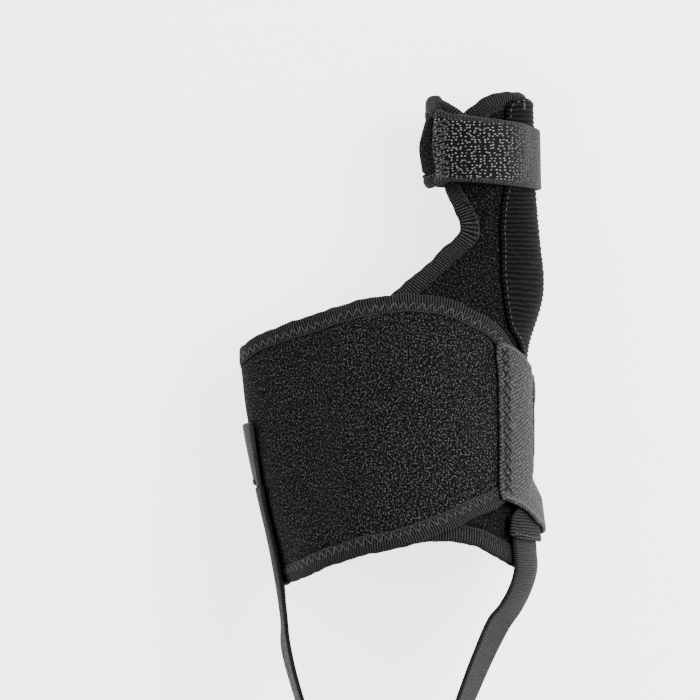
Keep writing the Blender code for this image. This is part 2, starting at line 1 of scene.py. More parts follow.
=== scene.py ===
"""Dressed model of a soft straightening brace, left side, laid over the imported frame.

Units are metres. +X is the inner side, +Y points to the cuff, +Z is up. Each cloth lies on one form surface,
given by a turn in degrees round the hollow (0 inner side, 90 sole side, 180 outer side, 270 top) and a place
along it, and stands off that form by its layer. Turns go on past 360 where a cloth laps itself. A flat place
is a pair of turn and place along. Tables give places as shares of the named sizes.
"""

from functools import partial

import bpy
import numpy as np
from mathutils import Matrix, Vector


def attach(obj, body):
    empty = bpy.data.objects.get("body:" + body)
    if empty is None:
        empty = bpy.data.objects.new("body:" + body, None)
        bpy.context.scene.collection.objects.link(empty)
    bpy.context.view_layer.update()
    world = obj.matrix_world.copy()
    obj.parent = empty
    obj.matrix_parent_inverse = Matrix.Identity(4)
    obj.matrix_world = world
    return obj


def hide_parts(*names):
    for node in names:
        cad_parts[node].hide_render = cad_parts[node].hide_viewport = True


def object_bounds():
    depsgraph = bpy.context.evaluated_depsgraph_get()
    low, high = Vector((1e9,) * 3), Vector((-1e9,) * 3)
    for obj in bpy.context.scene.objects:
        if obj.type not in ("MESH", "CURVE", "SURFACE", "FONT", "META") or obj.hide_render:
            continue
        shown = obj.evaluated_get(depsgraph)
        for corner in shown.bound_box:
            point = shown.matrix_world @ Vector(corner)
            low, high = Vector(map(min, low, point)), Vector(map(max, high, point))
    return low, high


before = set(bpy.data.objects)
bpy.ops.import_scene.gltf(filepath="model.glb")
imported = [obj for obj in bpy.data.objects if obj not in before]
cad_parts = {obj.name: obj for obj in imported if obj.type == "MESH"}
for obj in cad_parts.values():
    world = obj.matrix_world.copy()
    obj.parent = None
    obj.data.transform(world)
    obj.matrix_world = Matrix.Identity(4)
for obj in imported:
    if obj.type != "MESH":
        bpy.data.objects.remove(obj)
cad_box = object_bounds()

# Sizes of the hollow
HALF_WIDTH = 0.050
BAND_LENGTH = 0.080
INSTEP_HEIGHT = 0.064
TOE_CENTRE = 0.0273
TOE_WIDTH = 0.0288
TOE_HEIGHT = 0.0245

# Sizes of the cloth
LAMINATE = 0.0025
TAPE = 0.00045
TAPE_WIDTH = 0.0058
WEBBING = 0.0013
POCKET = 0.0015
PATCH = 0.0009
LAYER_GAP = 0.0006
LIFT_MARGIN = 0.0040
LIFT_RAMP = 0.0140
SHORT_RAMP = 0.0070

# Sizes of the straps
HEEL_STRAP_WIDTH = 0.025
HEEL_BACK = 0.114
HEEL_LEVEL = 0.040
HOOK_WIDTH = 0.022
STRAP_SLACK = 0.0005
TOE_STRAP_WIDTH = 0.0228
TAB_REACH = 0.070
# Place / BAND_LENGTH where the dressed hook meets the webbing, so that no light shows between them
HOOK_JOIN = -0.2146

# Sections of the band's hollow: place along / BAND_LENGTH, outer and inner side / HALF_WIDTH, height /
# INSTEP_HEIGHT, how far the crest leans inward, level of the widest line / height, squareness below it
BAND_SECTIONS = (
    (-0.9, -0.59, 0.72, 1.19, 0.04, 0.34, 3), (-0.62, -0.632, 0.856, 1.06, 0.08, 0.34, 3.2),
    (-0.48, -0.675, 0.856, 0.99, 0.12, 0.34, 3.2), (-0.28, -0.752, 0.82, 0.89, 0.16, 0.34, 3.2),
    (-0.04, -0.826, 0.8, 0.78, 0.2, 0.34, 3.2), (0.14, -0.876, 0.784, 0.71, 0.24, 0.34, 3.2),
    (0.33, -0.916, 0.796, 0.64, 0.28, 0.36, 3.2), (0.56, -0.89, 0.892, 0.57, 0.28, 0.38, 3.1),
    (0.76, -0.2, 0.868, 0.47, 0.16, 0.42, 2.8),
)
# Sections of the cuff's hollow: place along / BAND_LENGTH, shift of its middle and width / TOE_WIDTH,
# height / TOE_HEIGHT, then as above
CUFF_SECTIONS = (
    (0.96, 0.022, 0.98, 1.06, 0.06, 0.46, 2.5), (1.15, 0.018, 0.965, 1, 0.04, 0.48, 2.4),
    (1.45, 0, 0.93, 0.94, 0.02, 0.48, 2.4),
)

# Edge of the panel from its back corner on the inner side, over the top and up to the cuff:
# across / HALF_WIDTH, place along / BAND_LENGTH
PANEL_TOP_EDGE = (
    (0.76, -0.547), (0.68, -0.518), (0.56, -0.48), (0.42, -0.456), (0.26, -0.452), (0.1, -0.455),
    (-0.02, -0.42), (-0.1, -0.33), (-0.15, -0.16), (-0.16, 0.06), (-0.15, 0.27), (-0.1, 0.408), (0, 0.526),
    (0.12, 0.592), (0.24, 0.66), (0.35, 0.728),
)
# Edge of the cuff's under flap, from its back to its front: across from the cuff's middle / TOE_WIDTH,
# place along / BAND_LENGTH
UNDER_FLAP_EDGE = (
    (-0.165, 0.795), (-0.205, 0.86), (-0.3, 0.95), (-0.35, 1.04), (-0.33, 1.13), (-0.24, 1.215),
    (-0.11, 1.275), (0.06, 1.325), (0.25, 1.35), (0.4, 1.35),
)
# Front edge of the cuff: turn in degrees, place along / BAND_LENGTH
CUFF_FRONT = (
    (-18, 1.345), (15, 1.318), (50, 1.258), (90, 1.235), (130, 1.255), (160, 1.297),
)
# Edge of the cuff's over flap, from its front to its rounded back corner: across from its middle / TOE_WIDTH,
# place along / BAND_LENGTH
OVER_FLAP_EDGE = (
    (-0.45, 1.332), (-0.36, 1.334), (-0.24, 1.308), (-0.11, 1.27), (0.05, 1.235), (0.17, 1.185),
    (0.205, 1.12), (0.15, 1.06), (0.03, 1.025), (-0.12, 0.994), (-0.26, 0.962), (-0.39, 0.945),
    (-0.48, 0.952),
)
# Back edge of the cuff underneath, then the panel's edge on the sole side: turn in degrees,
# place along / BAND_LENGTH
PANEL_SOLE_EDGE = (
    (165, 0.965), (130, 0.965), (98, 0.955), (78, 0.9), (68, 0.8), (60, 0.65), (56, 0.48), (55, 0.3),
    (55, 0.12), (55, -0.06), (53, -0.24), (48, -0.4), (36, -0.5), (18, -0.536), (0, -0.546), (-18, -0.552),
)

# Front edge of the band on the sole side, then over the top: turn in degrees or across / HALF_WIDTH,
# place / BAND_LENGTH
BAND_FRONT_SOLE = (
    (62, 0.3), (90, 0.29), (120, 0.29), (145, 0.3), (165, 0.318),
)
BAND_FRONT_TOP = (
    (-0.9, 0.348), (-0.8, 0.39), (-0.64, 0.43), (-0.44, 0.467), (-0.22, 0.501), (0, 0.523), (0.18, 0.526),
    (0.36, 0.512), (0.53, 0.47), (0.645, 0.42),
)
# End of the band below the hook tab, from its front corner to its back one, as the rows above
BAND_END = (
    (0.705, 0.34), (0.735, 0.23), (0.74, 0.08), (0.745, -0.08), (0.738, -0.19), (0.705, -0.272),
)
BAND_BACK_TOP = (
    (0.64, -0.318), (0.53, -0.362), (0.38, -0.418), (0.22, -0.458), (0.06, -0.492), (-0.13, -0.512),
    (-0.29, -0.533), (-0.45, -0.568), (-0.56, -0.6),
)
BAND_BACK_SOLE = (
    (180, -0.615), (160, -0.58), (140, -0.53), (118, -0.485), (90, -0.45), (62, -0.435),
)
# Start of the band on the sole side, lapped below the panel
BAND_START = (
    (46, -0.38), (42, -0.24), (42, -0.08), (42, 0.08), (46, 0.24),
)

# Hook tab on the band's end: its edge over the top as across / HALF_WIDTH, place / BAND_LENGTH
TAB_SEAM = (
    (0.606, 0.34), (0.606, 0.2), (0.608, 0.05), (0.608, -0.1), (0.606, -0.275),
)
# Front and back edge of the hook tab round the inner side: turn in degrees, place / BAND_LENGTH
TAB_BACK = (
    (-39.5, -0.309), (-27, -0.341), (-15, -0.385), (2, -0.408), (20, -0.425), (40, -0.435), (66, -0.43),
)
TAB_TIP = (
    (80, -0.36), (85, -0.2), (85, 0), (78, 0.13),
)
TAB_FRONT = (
    (60, 0.15), (40, 0.17), (20, 0.195), (2, 0.224), (-12, 0.258), (-22, 0.305), (-33.5, 0.345),
)

# Ribbed pocket over the panel's inner side: turn in degrees, place / BAND_LENGTH
POCKET_EDGE = (
    (-19, 0.352), (-30, 0.415), (-37, 0.505), (-42.5, 0.605), (-46.5, 0.7), (-53, 0.8), (-60, 0.93),
    (-58, 1.02), (-55.5, 1.12), (-57, 1.22), (-54, 1.3), (-36, 1.326), (-16, 1.322), (10, 1.3), (28, 1.245),
    (31, 1.16), (30, 1.08), (28, 0.94), (26, 0.8), (24, 0.68), (24, 0.56), (24, 0.44), (24, 0.3), (20, 0.2),
    (4, 0.215), (-10, 0.28),
)

# Hook strap round the cuff, from its sewn end on the over flap, round the inner side to underneath:
# turn in degrees, place / BAND_LENGTH
TOE_STRAP_FRONT = (
    (229, 1.256), (248, 1.26), (270, 1.249), (310, 1.226), (340, 1.208), (370, 1.195), (410, 1.19),
    (450, 1.19), (485, 1.19),
)
TOE_STRAP_BACK = (
    (485, 0.995), (450, 0.965), (410, 0.955), (370, 0.955), (340, 0.96), (310, 0.968), (270, 0.974),
    (248, 0.967), (228, 0.962),
)

# Patch over the end of the heel strap on the inner side: turn in degrees, place / BAND_LENGTH
HEEL_PATCH = (
    (-25, -0.305), (-34.5, -0.352), (-38, -0.4), (-37.5, -0.442), (-18, -0.452), (2, -0.448), (4.5, -0.39),
    (4, -0.31), (-12, -0.276),
)
# Part of the heel strap below the patch: turn in degrees, place / BAND_LENGTH
STRAP_BELOW_PATCH = (
    (-40, -0.35), (-40, -0.48), (-40, -0.62), (-19, -0.64), (2, -0.62), (2, -0.48), (2, -0.35),
    (-19, -0.345),
)

# Middle line of the heel strap, from the inner side round the back to the outer side: turn in degrees and
# place / BAND_LENGTH where it lies on the form, and how far it has left the form for the free line, 0 to 1
STRAP_ON_FORM = (
    (-19, -0.35, 0), (-19, -0.43, 0), (-19, -0.5, 0), (-19, -0.56, 0), (-19, -0.6, 0.2),
    (-19, -0.625, 0.55), (-19, -0.74, 1),
)
STRAP_OFF_FORM = (
    (179, -0.8, 1), (179, -0.7, 0.2), (179, -0.62, 0), (179, -0.54, 0), (179, -0.46, 0), (179, -0.38, 0),
    (179, -0.3, 0), (179, -0.215, 0),
)
# Free line: across / HALF_WIDTH, back / HEEL_BACK, level / HEEL_LEVEL, lean of the upper edge to the middle
STRAP_FREE = (
    (0.678, -0.545, 0.95, 16), (0.572, -0.645, 0.97, 14), (0.475, -0.75, 1, 12), (0.38, -0.855, 1.02, 9),
    (0.26, -0.945, 1.03, 5), (0.06, -0.995, 1.02, 2), (-0.16, -0.99, 0.98, 2), (-0.36, -0.925, 0.9, 3),
    (-0.51, -0.82, 0.81, 4), (-0.6, -0.705, 0.71, 4.5), (-0.656, -0.6, 0.63, 5),
)
# Hook end of the heel strap on the outer side: turn in degrees, place / BAND_LENGTH
STRAP_HOOK = (
    (179, 0.035), (179, -0.03), (179, -0.09), (179, -0.15), (179, -0.2105),
)

# Fineness of the dressed cloth: steps in degrees and metres, and points between neighbouring rows of a table
FINE_TURN = 1.25
FINE_ALONG = 0.0010
FINE_EDGE = 0.0012
TAPE_STEP = 0.0004
COARSE_EDGE = 0.0050
PER_PLACE = 24
PER_ROW = 10
STRAP_ACROSS = 17
POCKET_GRID = (60, 240)
TOE_STRAP_GRID = (150, 44)
TAB_GRID = (130, 80)
PATCH_GRID = (36, 36)

# Rows of the outlines at which the four sides of each sheet's grid meet
POCKET_CORNERS = (10.4, 14.3, 23.3, 25.6)
TOE_STRAP_CORNERS = (0, 8, 9, 17)
TAB_CORNERS = (4.5, 11.5, 15.5, 22.5)
PATCH_CORNERS = (0.4, 3, 5, 7)

# Working values: step of the slopes in degrees and metres, flat places worked at once, a length next to
# nothing, a whole turn, and the turns beside a strap's middle that its width is sought in
SLOPE_STEP = (1.5, 0.0008)
AT_ONCE = 6000
TINY = 1e-12
TURN = 2 * np.pi
BESIDE = np.linspace(-90.0, 90.0, 121)
# Line that cloth places run from, and width of the fade of the waves, in degrees
HOME_TURN = -50.0
WAVE_FADE = 40.0

# Relief of the cloth, in metres; the rounding of a woven edge is a share of its thickness
EDGE_PINCH = 0.00075
PINCH_PAST = 0.0010
PINCH_FADE = 0.0014
CROWN = 0.00035
CROWN_RISE = 0.012
RIM_INSET = 0.0012
EDGE_ROUND = 0.7
TAPE_SWELL = 0.00012
RIB_PITCH = 0.00150
RIB_HEIGHT = 0.00016
RIB_START = 0.0022
RIB_FADE = 0.0020
# Drift of the ribs: height in mm, length in mm per radian, phase
RIB_DRIFT = ((0.35, 4.1, 0.0), (0.25, 2.3, 1.1))
# Wander of the tape's edge: wavelength and height
TAPE_WAVES = ((0.0045, 0.00007), (0.0078, 0.00008), (0.0130, 0.00012), (0.031, 0.00018))
# Marks on the cloth, in mm: selvedge, start of the stretch of paler, flatter-looking hooks round from
# HOME_TURN, hem line from the edge and its start from the tab's seam
SELVEDGE, SELVEDGE_FADE = 2.0, 0.6
PALE_HOOKS_START, PALE_HOOKS_FADE = -6.0, 9.0
HEM, HEM_FADE = (0.85, 1.35), 0.2
HEM_START, HEM_START_FADE = 1.5, 0.4

# Thread: its radius, how far its middle is out of the cloth at a stitch's ends and at its crown, in radii
THREAD = 0.00017
BOX_THREAD = 0.00022
SEAM_THREAD = 0.00025
STITCH_DIP = 0.35
STITCH_CROWN = 0.5
SEAM_CROWN = 1.2
STITCH_STATIONS = 7
STITCH_SIDES = 6
# Rows of sewing: width and period of a zigzag, or stitch and gap of a running row
WRAP_ROW = (0.0023, 0.0028)
PANEL_ROW = (0.0016, 0.0025)
TAB_ROW = (0.0032, 0.0066)
BOX_ROW = (0.0034, 0.0021)
BARTACK_ROW = (0.0011, 0.0008)
HOOK_ROW = (0.0018, 0.0022)
POCKET_STITCH = (0.0012, 0.0008)
PATCH_STITCH = (0.00126, 0.00084)
# Their lines: across / HALF_WIDTH on the tab, else turn in degrees, and place / BAND_LENGTH
TAB_LINE = ((0.640, 0.322), (0.643, 0.200), (0.645, 0.050), (0.645, -0.100), (0.642, -0.272))
BOX_LINE = ((237.5, 1.236), (236.5, 1.110), (236.0, 0.984))
BARTACK_LINE = ((-32.0, 1.308), (-32.3, 1.280))
HOOK_LINE = ((166.0, -0.198), (179.0, -0.198), (192.0, -0.198))
PATCH_LINE = ((-36.0, -0.432), (-18.0, -0.441), (1.5, -0.438))
# Their distance from the cloth's edge, less than TAPE_WIDTH by this much on the tapes
WRAP_ROW_IN = 0.0019
PANEL_ROW_IN = 0.0014
POCKET_ROW_IN = 0.0010

# Broad waves that all layers share: wavelengths round and along in mm, phase in degrees, height in mm
SOFT_WAVES = (
    (61.0, 190.0, 20.0, 0.26), (-43.0, 96.0, 130.0, 0.20), (37.0, 58.0, 250.0, 0.14),
    (-29.0, 41.0, 75.0, 0.10), (19.0, -33.0, 310.0, 0.06),
)


# The form


def smooth_rows(rows, at):
    """The rows' columns at each place, joined by cubic curves through the rows."""
    rows = np.array(rows, float)
    place = rows[:, 0]
    slope = np.gradient(rows, place, axis=0)
    at = np.clip(at, place[0], place[-1])
    index = np.clip(np.searchsorted(place, at, side="right") - 1, 0, len(place) - 2)
    step = (place[index + 1] - place[index])[..., None]
    part = (at[..., None] - place[index][..., None]) / step
    first, last = rows[index], rows[index + 1]
    first_slope, last_slope = slope[index] * step, slope[index + 1] * step
    return (
        first * (2 * part**3 - 3 * part**2 + 1)
        + first_slope * (part**3 - 2 * part**2 + part)
        + last * (3 * part**2 - 2 * part**3)
        + last_slope * (part**3 - part**2)
    )


def form_rows():
    """Sections of the form in metres: place, middle, half width, height, lean, widest level, squareness."""
    rows = []
    for along, outer, inner, height, lean, level, square in BAND_SECTIONS:
        middle = (inner + outer) / 2 * HALF_WIDTH
        half = (inner - outer) / 2 * HALF_WIDTH
        rows.append((along * BAND_LENGTH, middle, half, height * INSTEP_HEIGHT, lean, level, square))
    for along, shift, width, height, lean, level, square in CUFF_SECTIONS:
        middle = TOE_CENTRE + shift * TOE_WIDTH
        half = width * TOE_WIDTH / 2
        rows.append((along * BAND_LENGTH, middle, half, height * TOE_HEIGHT, lean, level, square))
    return np.array(rows)


SECTIONS = form_rows()


def form(turn, along):
    """Points of the form. With c and s the turn's cosine and sine, half the width times c goes across. Above
    the widest line the rest of the height times s, times 1 + lean times c, goes up. Below it c and s are
    divided by the square-th root of |c|^square + |s|^square, so that the underside is squarer than an
    ellipse."""
    middle, half, height, lean, level, square = np.moveaxis(smooth_rows(SECTIONS, along), -1, 0)[1:]
    angle = -np.radians(turn)
    across, up = np.cos(angle), np.sin(angle)
    widest = height * level
    swell = (np.abs(across) ** square + np.abs(up) ** square) ** (-1 / square)
    upper = up > 0
    x = middle + half * across * np.where(upper, 1, swell)
    z = np.where(upper, widest + (height - widest) * up * (1 + lean * across), widest * (1 + up * swell))
    return np.stack([x, along + 0 * x, z], -1)


def slopes(turn, along):
    """How the form's points move per degree of turn and per metre along."""
    small_turn, small_along = SLOPE_STEP
    by_turn = (form(turn + small_turn, along) - form(turn - small_turn, along)) / (2 * small_turn)
    by_along = (form(turn, along + small_along) - form(turn, along - small_along)) / (2 * small_along)
    return by_turn, by_along


def unit(vectors):
    """The vectors divided by their lengths."""
    return vectors / np.maximum(np.linalg.norm(vectors, axis=-1, keepdims=True), TINY)


def outward(flat):
    """Unit normals of the form at flat places, away from the hollow."""
    by_turn, by_along = slopes(flat[..., 0], flat[..., 1])
    return unit(np.cross(by_turn, by_along))


GIRTH_TURNS = np.arange(-140.0, 520.0, 2.5)
GIRTH_ALONGS = np.linspace(BAND_SECTIONS[0][0], CUFF_SECTIONS[-1][0], 70) * BAND_LENGTH


def girth_table():
    """Length round the form from its top line, turn 270, to each turn, one row per place along: the summed
    distances between neighbouring points of the form."""
    turn, along = np.meshgrid(GIRTH_TURNS, GIRTH_ALONGS)
    run = np.linalg.norm(np.diff(form(turn, along), axis=1), axis=-1)
    run = np.concatenate([np.zeros((len(GIRTH_ALONGS), 1)), np.cumsum(run, 1)], 1)
    top = np.argmin(np.abs(GIRTH_TURNS - 270.0))
    return run - run[:, top : top + 1]


GIRTH = girth_table()


def cell_of(table, values):
    """Cell of an evenly spaced table that each value is in, and how far into it the value is, from 0 to 1."""
    place = np.clip((values - table[0]) / (table[1] - table[0]), 0, len(table) - 1.001)
    return place.astype(int), place - place.astype(int)


def cloth_place(flat):
    """Millimetres round the form from its top line and along it, which is where a thread of the cloth runs:
    the girth table read between its four nearest entries."""
    c, pc = cell_of(GIRTH_TURNS, flat[..., 0])
    r, pr = cell_of(GIRTH_ALONGS, flat[..., 1])
    low = GIRTH[r, c] * (1 - pc) + GIRTH[r, c + 1] * pc
    high = GIRTH[r + 1, c] * (1 - pc) + GIRTH[r + 1, c + 1] * pc
    return np.stack([low * (1 - pr) + high * pr, flat[..., 1]], -1) * 1000


def cloth_uv(flat):
    """As cloth_place, but round from the line 40 degrees inward of the top, on the lap that the piece is on,
    so that its texture runs true there."""
    home = HOME_TURN if flat[..., 0].mean() < HOME_TURN + 200 else HOME_TURN + 360
    place = cloth_place(flat)
    line = cloth_place(np.stack([home + 0 * flat[..., 0], flat[..., 1]], -1))
    return np.stack([place[..., 0] - line[..., 0], place[..., 1]], -1)


def soft_relief(flat):
    """Broad low waves of worn cloth, a sum of sines, the same in every layer so that no layer meets another.
    They die out towards turn 0, where the turns start anew."""
    turn = np.mod(flat[..., 0], 360.0)
    place = cloth_place(np.stack([turn, flat[..., 1]], -1))
    total = 0
    for girth, along, phase, height in SOFT_WAVES:
        wave = TURN * (place[..., 0] / girth + place[..., 1] / along) + np.radians(phase)
        total = total + height * np.sin(wave)
    return total * ease(np.minimum(turn, 360 - turn) / WAVE_FADE) / 1000


def on_form(flat, height):
    """Points that stand the height, and the shared waves, off the form at the flat places (turn, along)."""
    lifted = np.asarray(height) + soft_relief(flat)
    return form(flat[..., 0], flat[..., 1]) + outward(flat) * lifted[..., None]


# Outlines


def turns_of(rows, lap=0.0, centre=0.0, unit_size=HALF_WIDTH):
    """Flat places of rows given across the top of the form: the turn is the arc cosine of the share of the
    half width there; lap 360 is the second time round."""
    rows = np.array(rows, float)
    along = rows[:, 1] * BAND_LENGTH
    middle, half = np.moveaxis(smooth_rows(SECTIONS, along), -1, 0)[1:3]
    share = np.clip((centre + rows[:, 0] * unit_size - middle) / half, -0.995, 0.995)
    return np.stack([lap - np.degrees(np.arccos(share)), along], 1)


def cuff_turns(rows, lap=0.0):
    """As turns_of, for rows given across from the cuff's middle in shares of its width."""
    return turns_of(rows, lap, TOE_CENTRE, TOE_WIDTH)


def at_turns(rows, lap=0.0):
    """Flat places of rows given by turn."""
    rows = np.array(rows, float)
    return np.stack([rows[:, 0] + lap, rows[:, 1] * BAND_LENGTH], 1)


def through(before, first, last, after, number):
    """Points from each first place up to the last: with t from 0 to 1, half of 2 first + (last - before) t
    + (2 before - 5 first + 4 last - after) t^2 + (3 first - before - 3 last + after) t^3."""
    before, first, last, after = (places[:, None] for places in (before, first, last, after))
    part = np.linspace(0, 1, number, endpoint=False).reshape(1, -1, *[1] * (first.ndim - 2))
    points = 0.5 * (
        2 * first
        + (last - before) * part
        + (2 * before - 5 * first + 4 * last - after) * part**2
        + (3 * first - before - 3 * last + after) * part**3
    )
    return points.reshape(-1, *points.shape[2:])


def dense_line(places):
    """A closed smooth line through the places."""
    return through(np.roll(places, 1, 0), places, np.roll(places, -1, 0), np.roll(places, -2, 0), PER_PLACE)


def run_of(points):
    """Distance run along a line of points, from 0 at its first one."""
    return np.concatenate([[0], np.cumsum(np.linalg.norm(np.diff(points, axis=0), axis=1))])


def form_run(line):
    """Distance run on the form along a line of flat places."""
    return run_of(form(line[:, 0], line[:, 1]))


def read_at(line, shares):
    """Places of a flat line at shares of its length on the form."""
    run = form_run(line)
    at = shares * run[-1]
    return np.stack([np.interp(at, run, line[:, 0]), np.interp(at, run, line[:, 1])], 1)


def closed_line(loop):
    """The loop with its first place again at its end."""
    return np.concatenate([loop, loop[:1]])


def flat_loop(places, step):
    """A closed smooth line through the places, with points about a step apart, turning counter-clockwise."""
    line = dense_line(np.concatenate(places) if isinstance(places, list) else np.asarray(places))
    number = int(form_run(line)[-1] / step)
    loop = read_at(closed_line(line), np.linspace(0, 1, number, endpoint=False))
    return loop if area(loop) > 0 else loop[::-1]


def area(loop):
    """Area inside a flat loop, positive where it turns counter-clockwise: half the sum of its cross
    products."""
    x, y = loop[:, 0], loop[:, 1]
    return (x * np.roll(y, -1) - np.roll(x, -1) * y).sum() / 2


def side_of(line, run):
    """Slopes of the form along a flat line, and the direction on the form to the left of the line's run."""
    by_turn, by_along = slopes(line[:, 0], line[:, 1])
    tangent = unit(by_turn * run[:, :1] + by_along * run[:, 1:])
    return by_turn, by_along, np.cross(unit(np.cross(by_turn, by_along)), tangent)


def inward(loop, distance):
    """The counter-clockwise loop moved inward by a distance measured on the form: the side direction on the
    form is split into its shares of the two slopes."""
    by_turn, by_along, side = side_of(loop, np.roll(loop, -1, 0) - np.roll(loop, 1, 0))
    turn_turn = (by_turn * by_turn).sum(1)
    turn_along = (by_turn * by_along).sum(1)
    along_along = (by_along * by_along).sum(1)
    on_turn, on_along = (side * by_turn).sum(1), (side * by_along).sum(1)
    both = turn_turn * along_along - turn_along**2
    move_turn = (on_turn * along_along - on_along * turn_along) / both
    move_along = (on_along * turn_turn - on_turn * turn_along) / both
    return loop + np.stack([move_turn, move_along], 1) * np.asarray(distance)[..., None]


def spacing(loop, flat):
    """Distance from flat places to a loop's line, in metres on the form, and whether each is inside: the
    least distance to its straight steps, and an odd number of steps crossed on the way out."""
    turn, along = flat[..., 0].ravel(), flat[..., 1].ravel()
    first, last = loop, np.roll(loop, -1, 0)
    rise = last[:, 1] - first[:, 1]
    rise = np.where(np.abs(rise) < TINY, TINY, rise)
    away, inside = np.empty(len(turn)), np.empty(len(turn), bool)
    for k in range(0, len(turn), AT_ONCE):
        part_of = slice(k, k + AT_ONCE)
        px, py = turn[part_of, None], along[part_of, None]
        scale = np.linalg.norm(slopes(turn[part_of], along[part_of])[0], axis=-1)[:, None]
        ax, ay = (first[None, :, 0] - px) * scale, first[None, :, 1] - py
        bx, by = (last[None, :, 0] - px) * scale, last[None, :, 1] - py
        dx, dy = bx - ax, by - ay
        part = np.clip(-(ax * dx + ay * dy) / np.maximum(dx * dx + dy * dy, TINY**2), 0, 1)
        away[part_of] = np.sqrt((ax + part * dx) ** 2 + (ay + part * dy) ** 2).min(1)
        crosses = (first[None, :, 1] > py) != (last[None, :, 1] > py)
        share = (py - first[None, :, 1]) / rise[None]
        meets = first[None, :, 0] + share * (last[None, :, 0] - first[None, :, 0])
        inside[part_of] = (crosses & (px < meets)).sum(1) % 2 == 1
    return away.reshape(flat.shape[:-1]), inside.reshape(flat.shape[:-1])


def ease(share):
    """A share that starts and stops softly between 0 and 1: 3 s^2 - 2 s^3."""
    share = np.clip(share, 0, 1)
    return share * share * (3 - 2 * share)


def lift(loops, height, ramp=LIFT_RAMP):
    """A height that holds over each loop and its margin and falls smoothly to nothing past it."""

    def over(flat):
        """The height at flat places."""
        most = np.zeros(flat.shape[:-1])
        for loop in loops:
            away, inside = spacing(loop, flat)
            share = np.where(inside, 1, ease(1 - (away - LIFT_MARGIN) / ramp))
            most = np.maximum(most, share)
        return height * most

    return over


# Meshes


def new_object(name, data):
    """An object of the data in the scene."""
    item = bpy.data.objects.new(name, data)
    bpy.context.scene.collection.objects.link(item)
    return item


def add_piece(name, points, faces, uv, materials, node_name=None, marks=None, which=None):
    """A smooth mesh object at the origin from arrays of points, faces, cloth places, marks per point and
    material per face; it rides on the one body and may stand for a CAD node."""
    mesh = bpy.data.meshes.new(name)
    faces = faces if isinstance(faces, list) else [faces]
    corners = np.concatenate([f.ravel() for f in faces]).astype(np.int32)
    totals = np.concatenate([np.full(len(f), f.shape[1]) for f in faces]).astype(np.int32)
    starts = np.concatenate([[0], np.cumsum(totals)[:-1]]).astype(np.int32)
    used = np.unique(corners)
    renumber = np.full(len(points), -1)
    renumber[used] = np.arange(len(used))
    corners, points, uv = renumber[corners].astype(np.int32), points[used], uv[used]
    mesh.vertices.add(len(points))
    mesh.vertices.foreach_set("co", points.astype(np.float32).ravel())
    mesh.loops.add(len(corners))
    mesh.loops.foreach_set("vertex_index", corners)
    mesh.polygons.add(len(totals))
    mesh.polygons.foreach_set("loop_start", starts)
    mesh.polygons.foreach_set("loop_total", totals)
    mesh.polygons.foreach_set("use_smooth", np.ones(len(totals), bool))
    for material in materials if isinstance(materials, list) else [materials]:
        mesh.materials.append(material)
    if which is not None:
        mesh.polygons.foreach_set("material_index", np.asarray(which, np.int32))
    layer = mesh.uv_layers.new(name="cloth_mm")
    layer.data.foreach_set("uv", uv[corners].astype(np.float32).ravel())
    for mark, values in (marks or {}).items():
        attribute = mesh.attributes.new(mark, "FLOAT", "POINT")
        attribute.data.foreach_set("value", values[used].astype(np.float32))
    mesh.update(calc_edges=True)
    mesh.validate()
    item = new_object(name, mesh)
    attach(item, "root")
    if node_name:
        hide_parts(node_name)
    return item


def ring_faces(rings, count):
    """Quads between neighbouring rings of a closed section carried along a closed path, as index arrays."""
    ring = np.arange(rings)[:, None] * count
    place = np.arange(count)[None]
    after_ring = np.roll(np.arange(rings), -1)[:, None] * count
    after = np.roll(np.arange(count), -1)[None]
    return np.stack([ring + place, after_ring + place, after_ring + after, ring + after], -1).reshape(-1, 4)


def cut_shell(loop, inset, low, high, turn_step, along_step):
    """Two faces of a cloth on a grid of turns and places along, kept where the loop's inside is deeper than
    the inset, and closed by a wall round the rim, which the binding covers. Returns points, flat places,
    faces and which faces are inner ones."""
    turns = np.arange(loop[:, 0].min(), loop[:, 0].max() + turn_step, turn_step)
    alongs = np.arange(loop[:, 1].min(), loop[:, 1].max() + along_step, along_step)
    flat = np.stack(np.meshgrid(turns, alongs, indexing="ij"), -1)
    away, inside = spacing(loop[::3], flat)
    deep = np.where(inside, away, -away)
    keep = deep > inset
    cells = keep[:-1, :-1] & keep[1:, :-1] & keep[:-1, 1:] & keep[1:, 1:]
    index = np.arange(keep.size).reshape(keep.shape)
    number = keep.size
    a, b, c, d = index[:-1, :-1], index[1:, :-1], index[1:, 1:], index[:-1, 1:]
    outer = np.stack([a, b, c, d], -1)[cells]
    inner = outer[:, ::-1] + number
    framed = np.pad(cells, 1)
    rims = []
    for first, last, neighbour in (
        (a, b, framed[1:-1, :-2]),
        (b, c, framed[2:, 1:-1]),
        (c, d, framed[1:-1, 2:]),
        (d, a, framed[:-2, 1:-1]),
    ):
        edge = cells & ~neighbour
        p, q = first[edge], last[edge]
        rims.append(np.stack([q, p, p + number, q + number], -1))
    wall = np.concatenate(rims)
    used = framed[1:, 1:] | framed[:-1, 1:] | framed[1:, :-1] | framed[:-1, :-1]
    points = np.zeros((2, *keep.shape, 3))
    place = flat[used]
    points[0][used] = on_form(place, high(place, deep[used]))
    points[1][used] = on_form(place, low(place, deep[used]))
    faces = np.concatenate([outer, inner, wall])
    which = np.concatenate([np.zeros(len(outer)), np.ones(len(inner)), np.zeros(len(wall))])
    flats = np.concatenate([flat.reshape(-1, 2)] * 2)
    return points.reshape(-1, 3), flats, faces, which


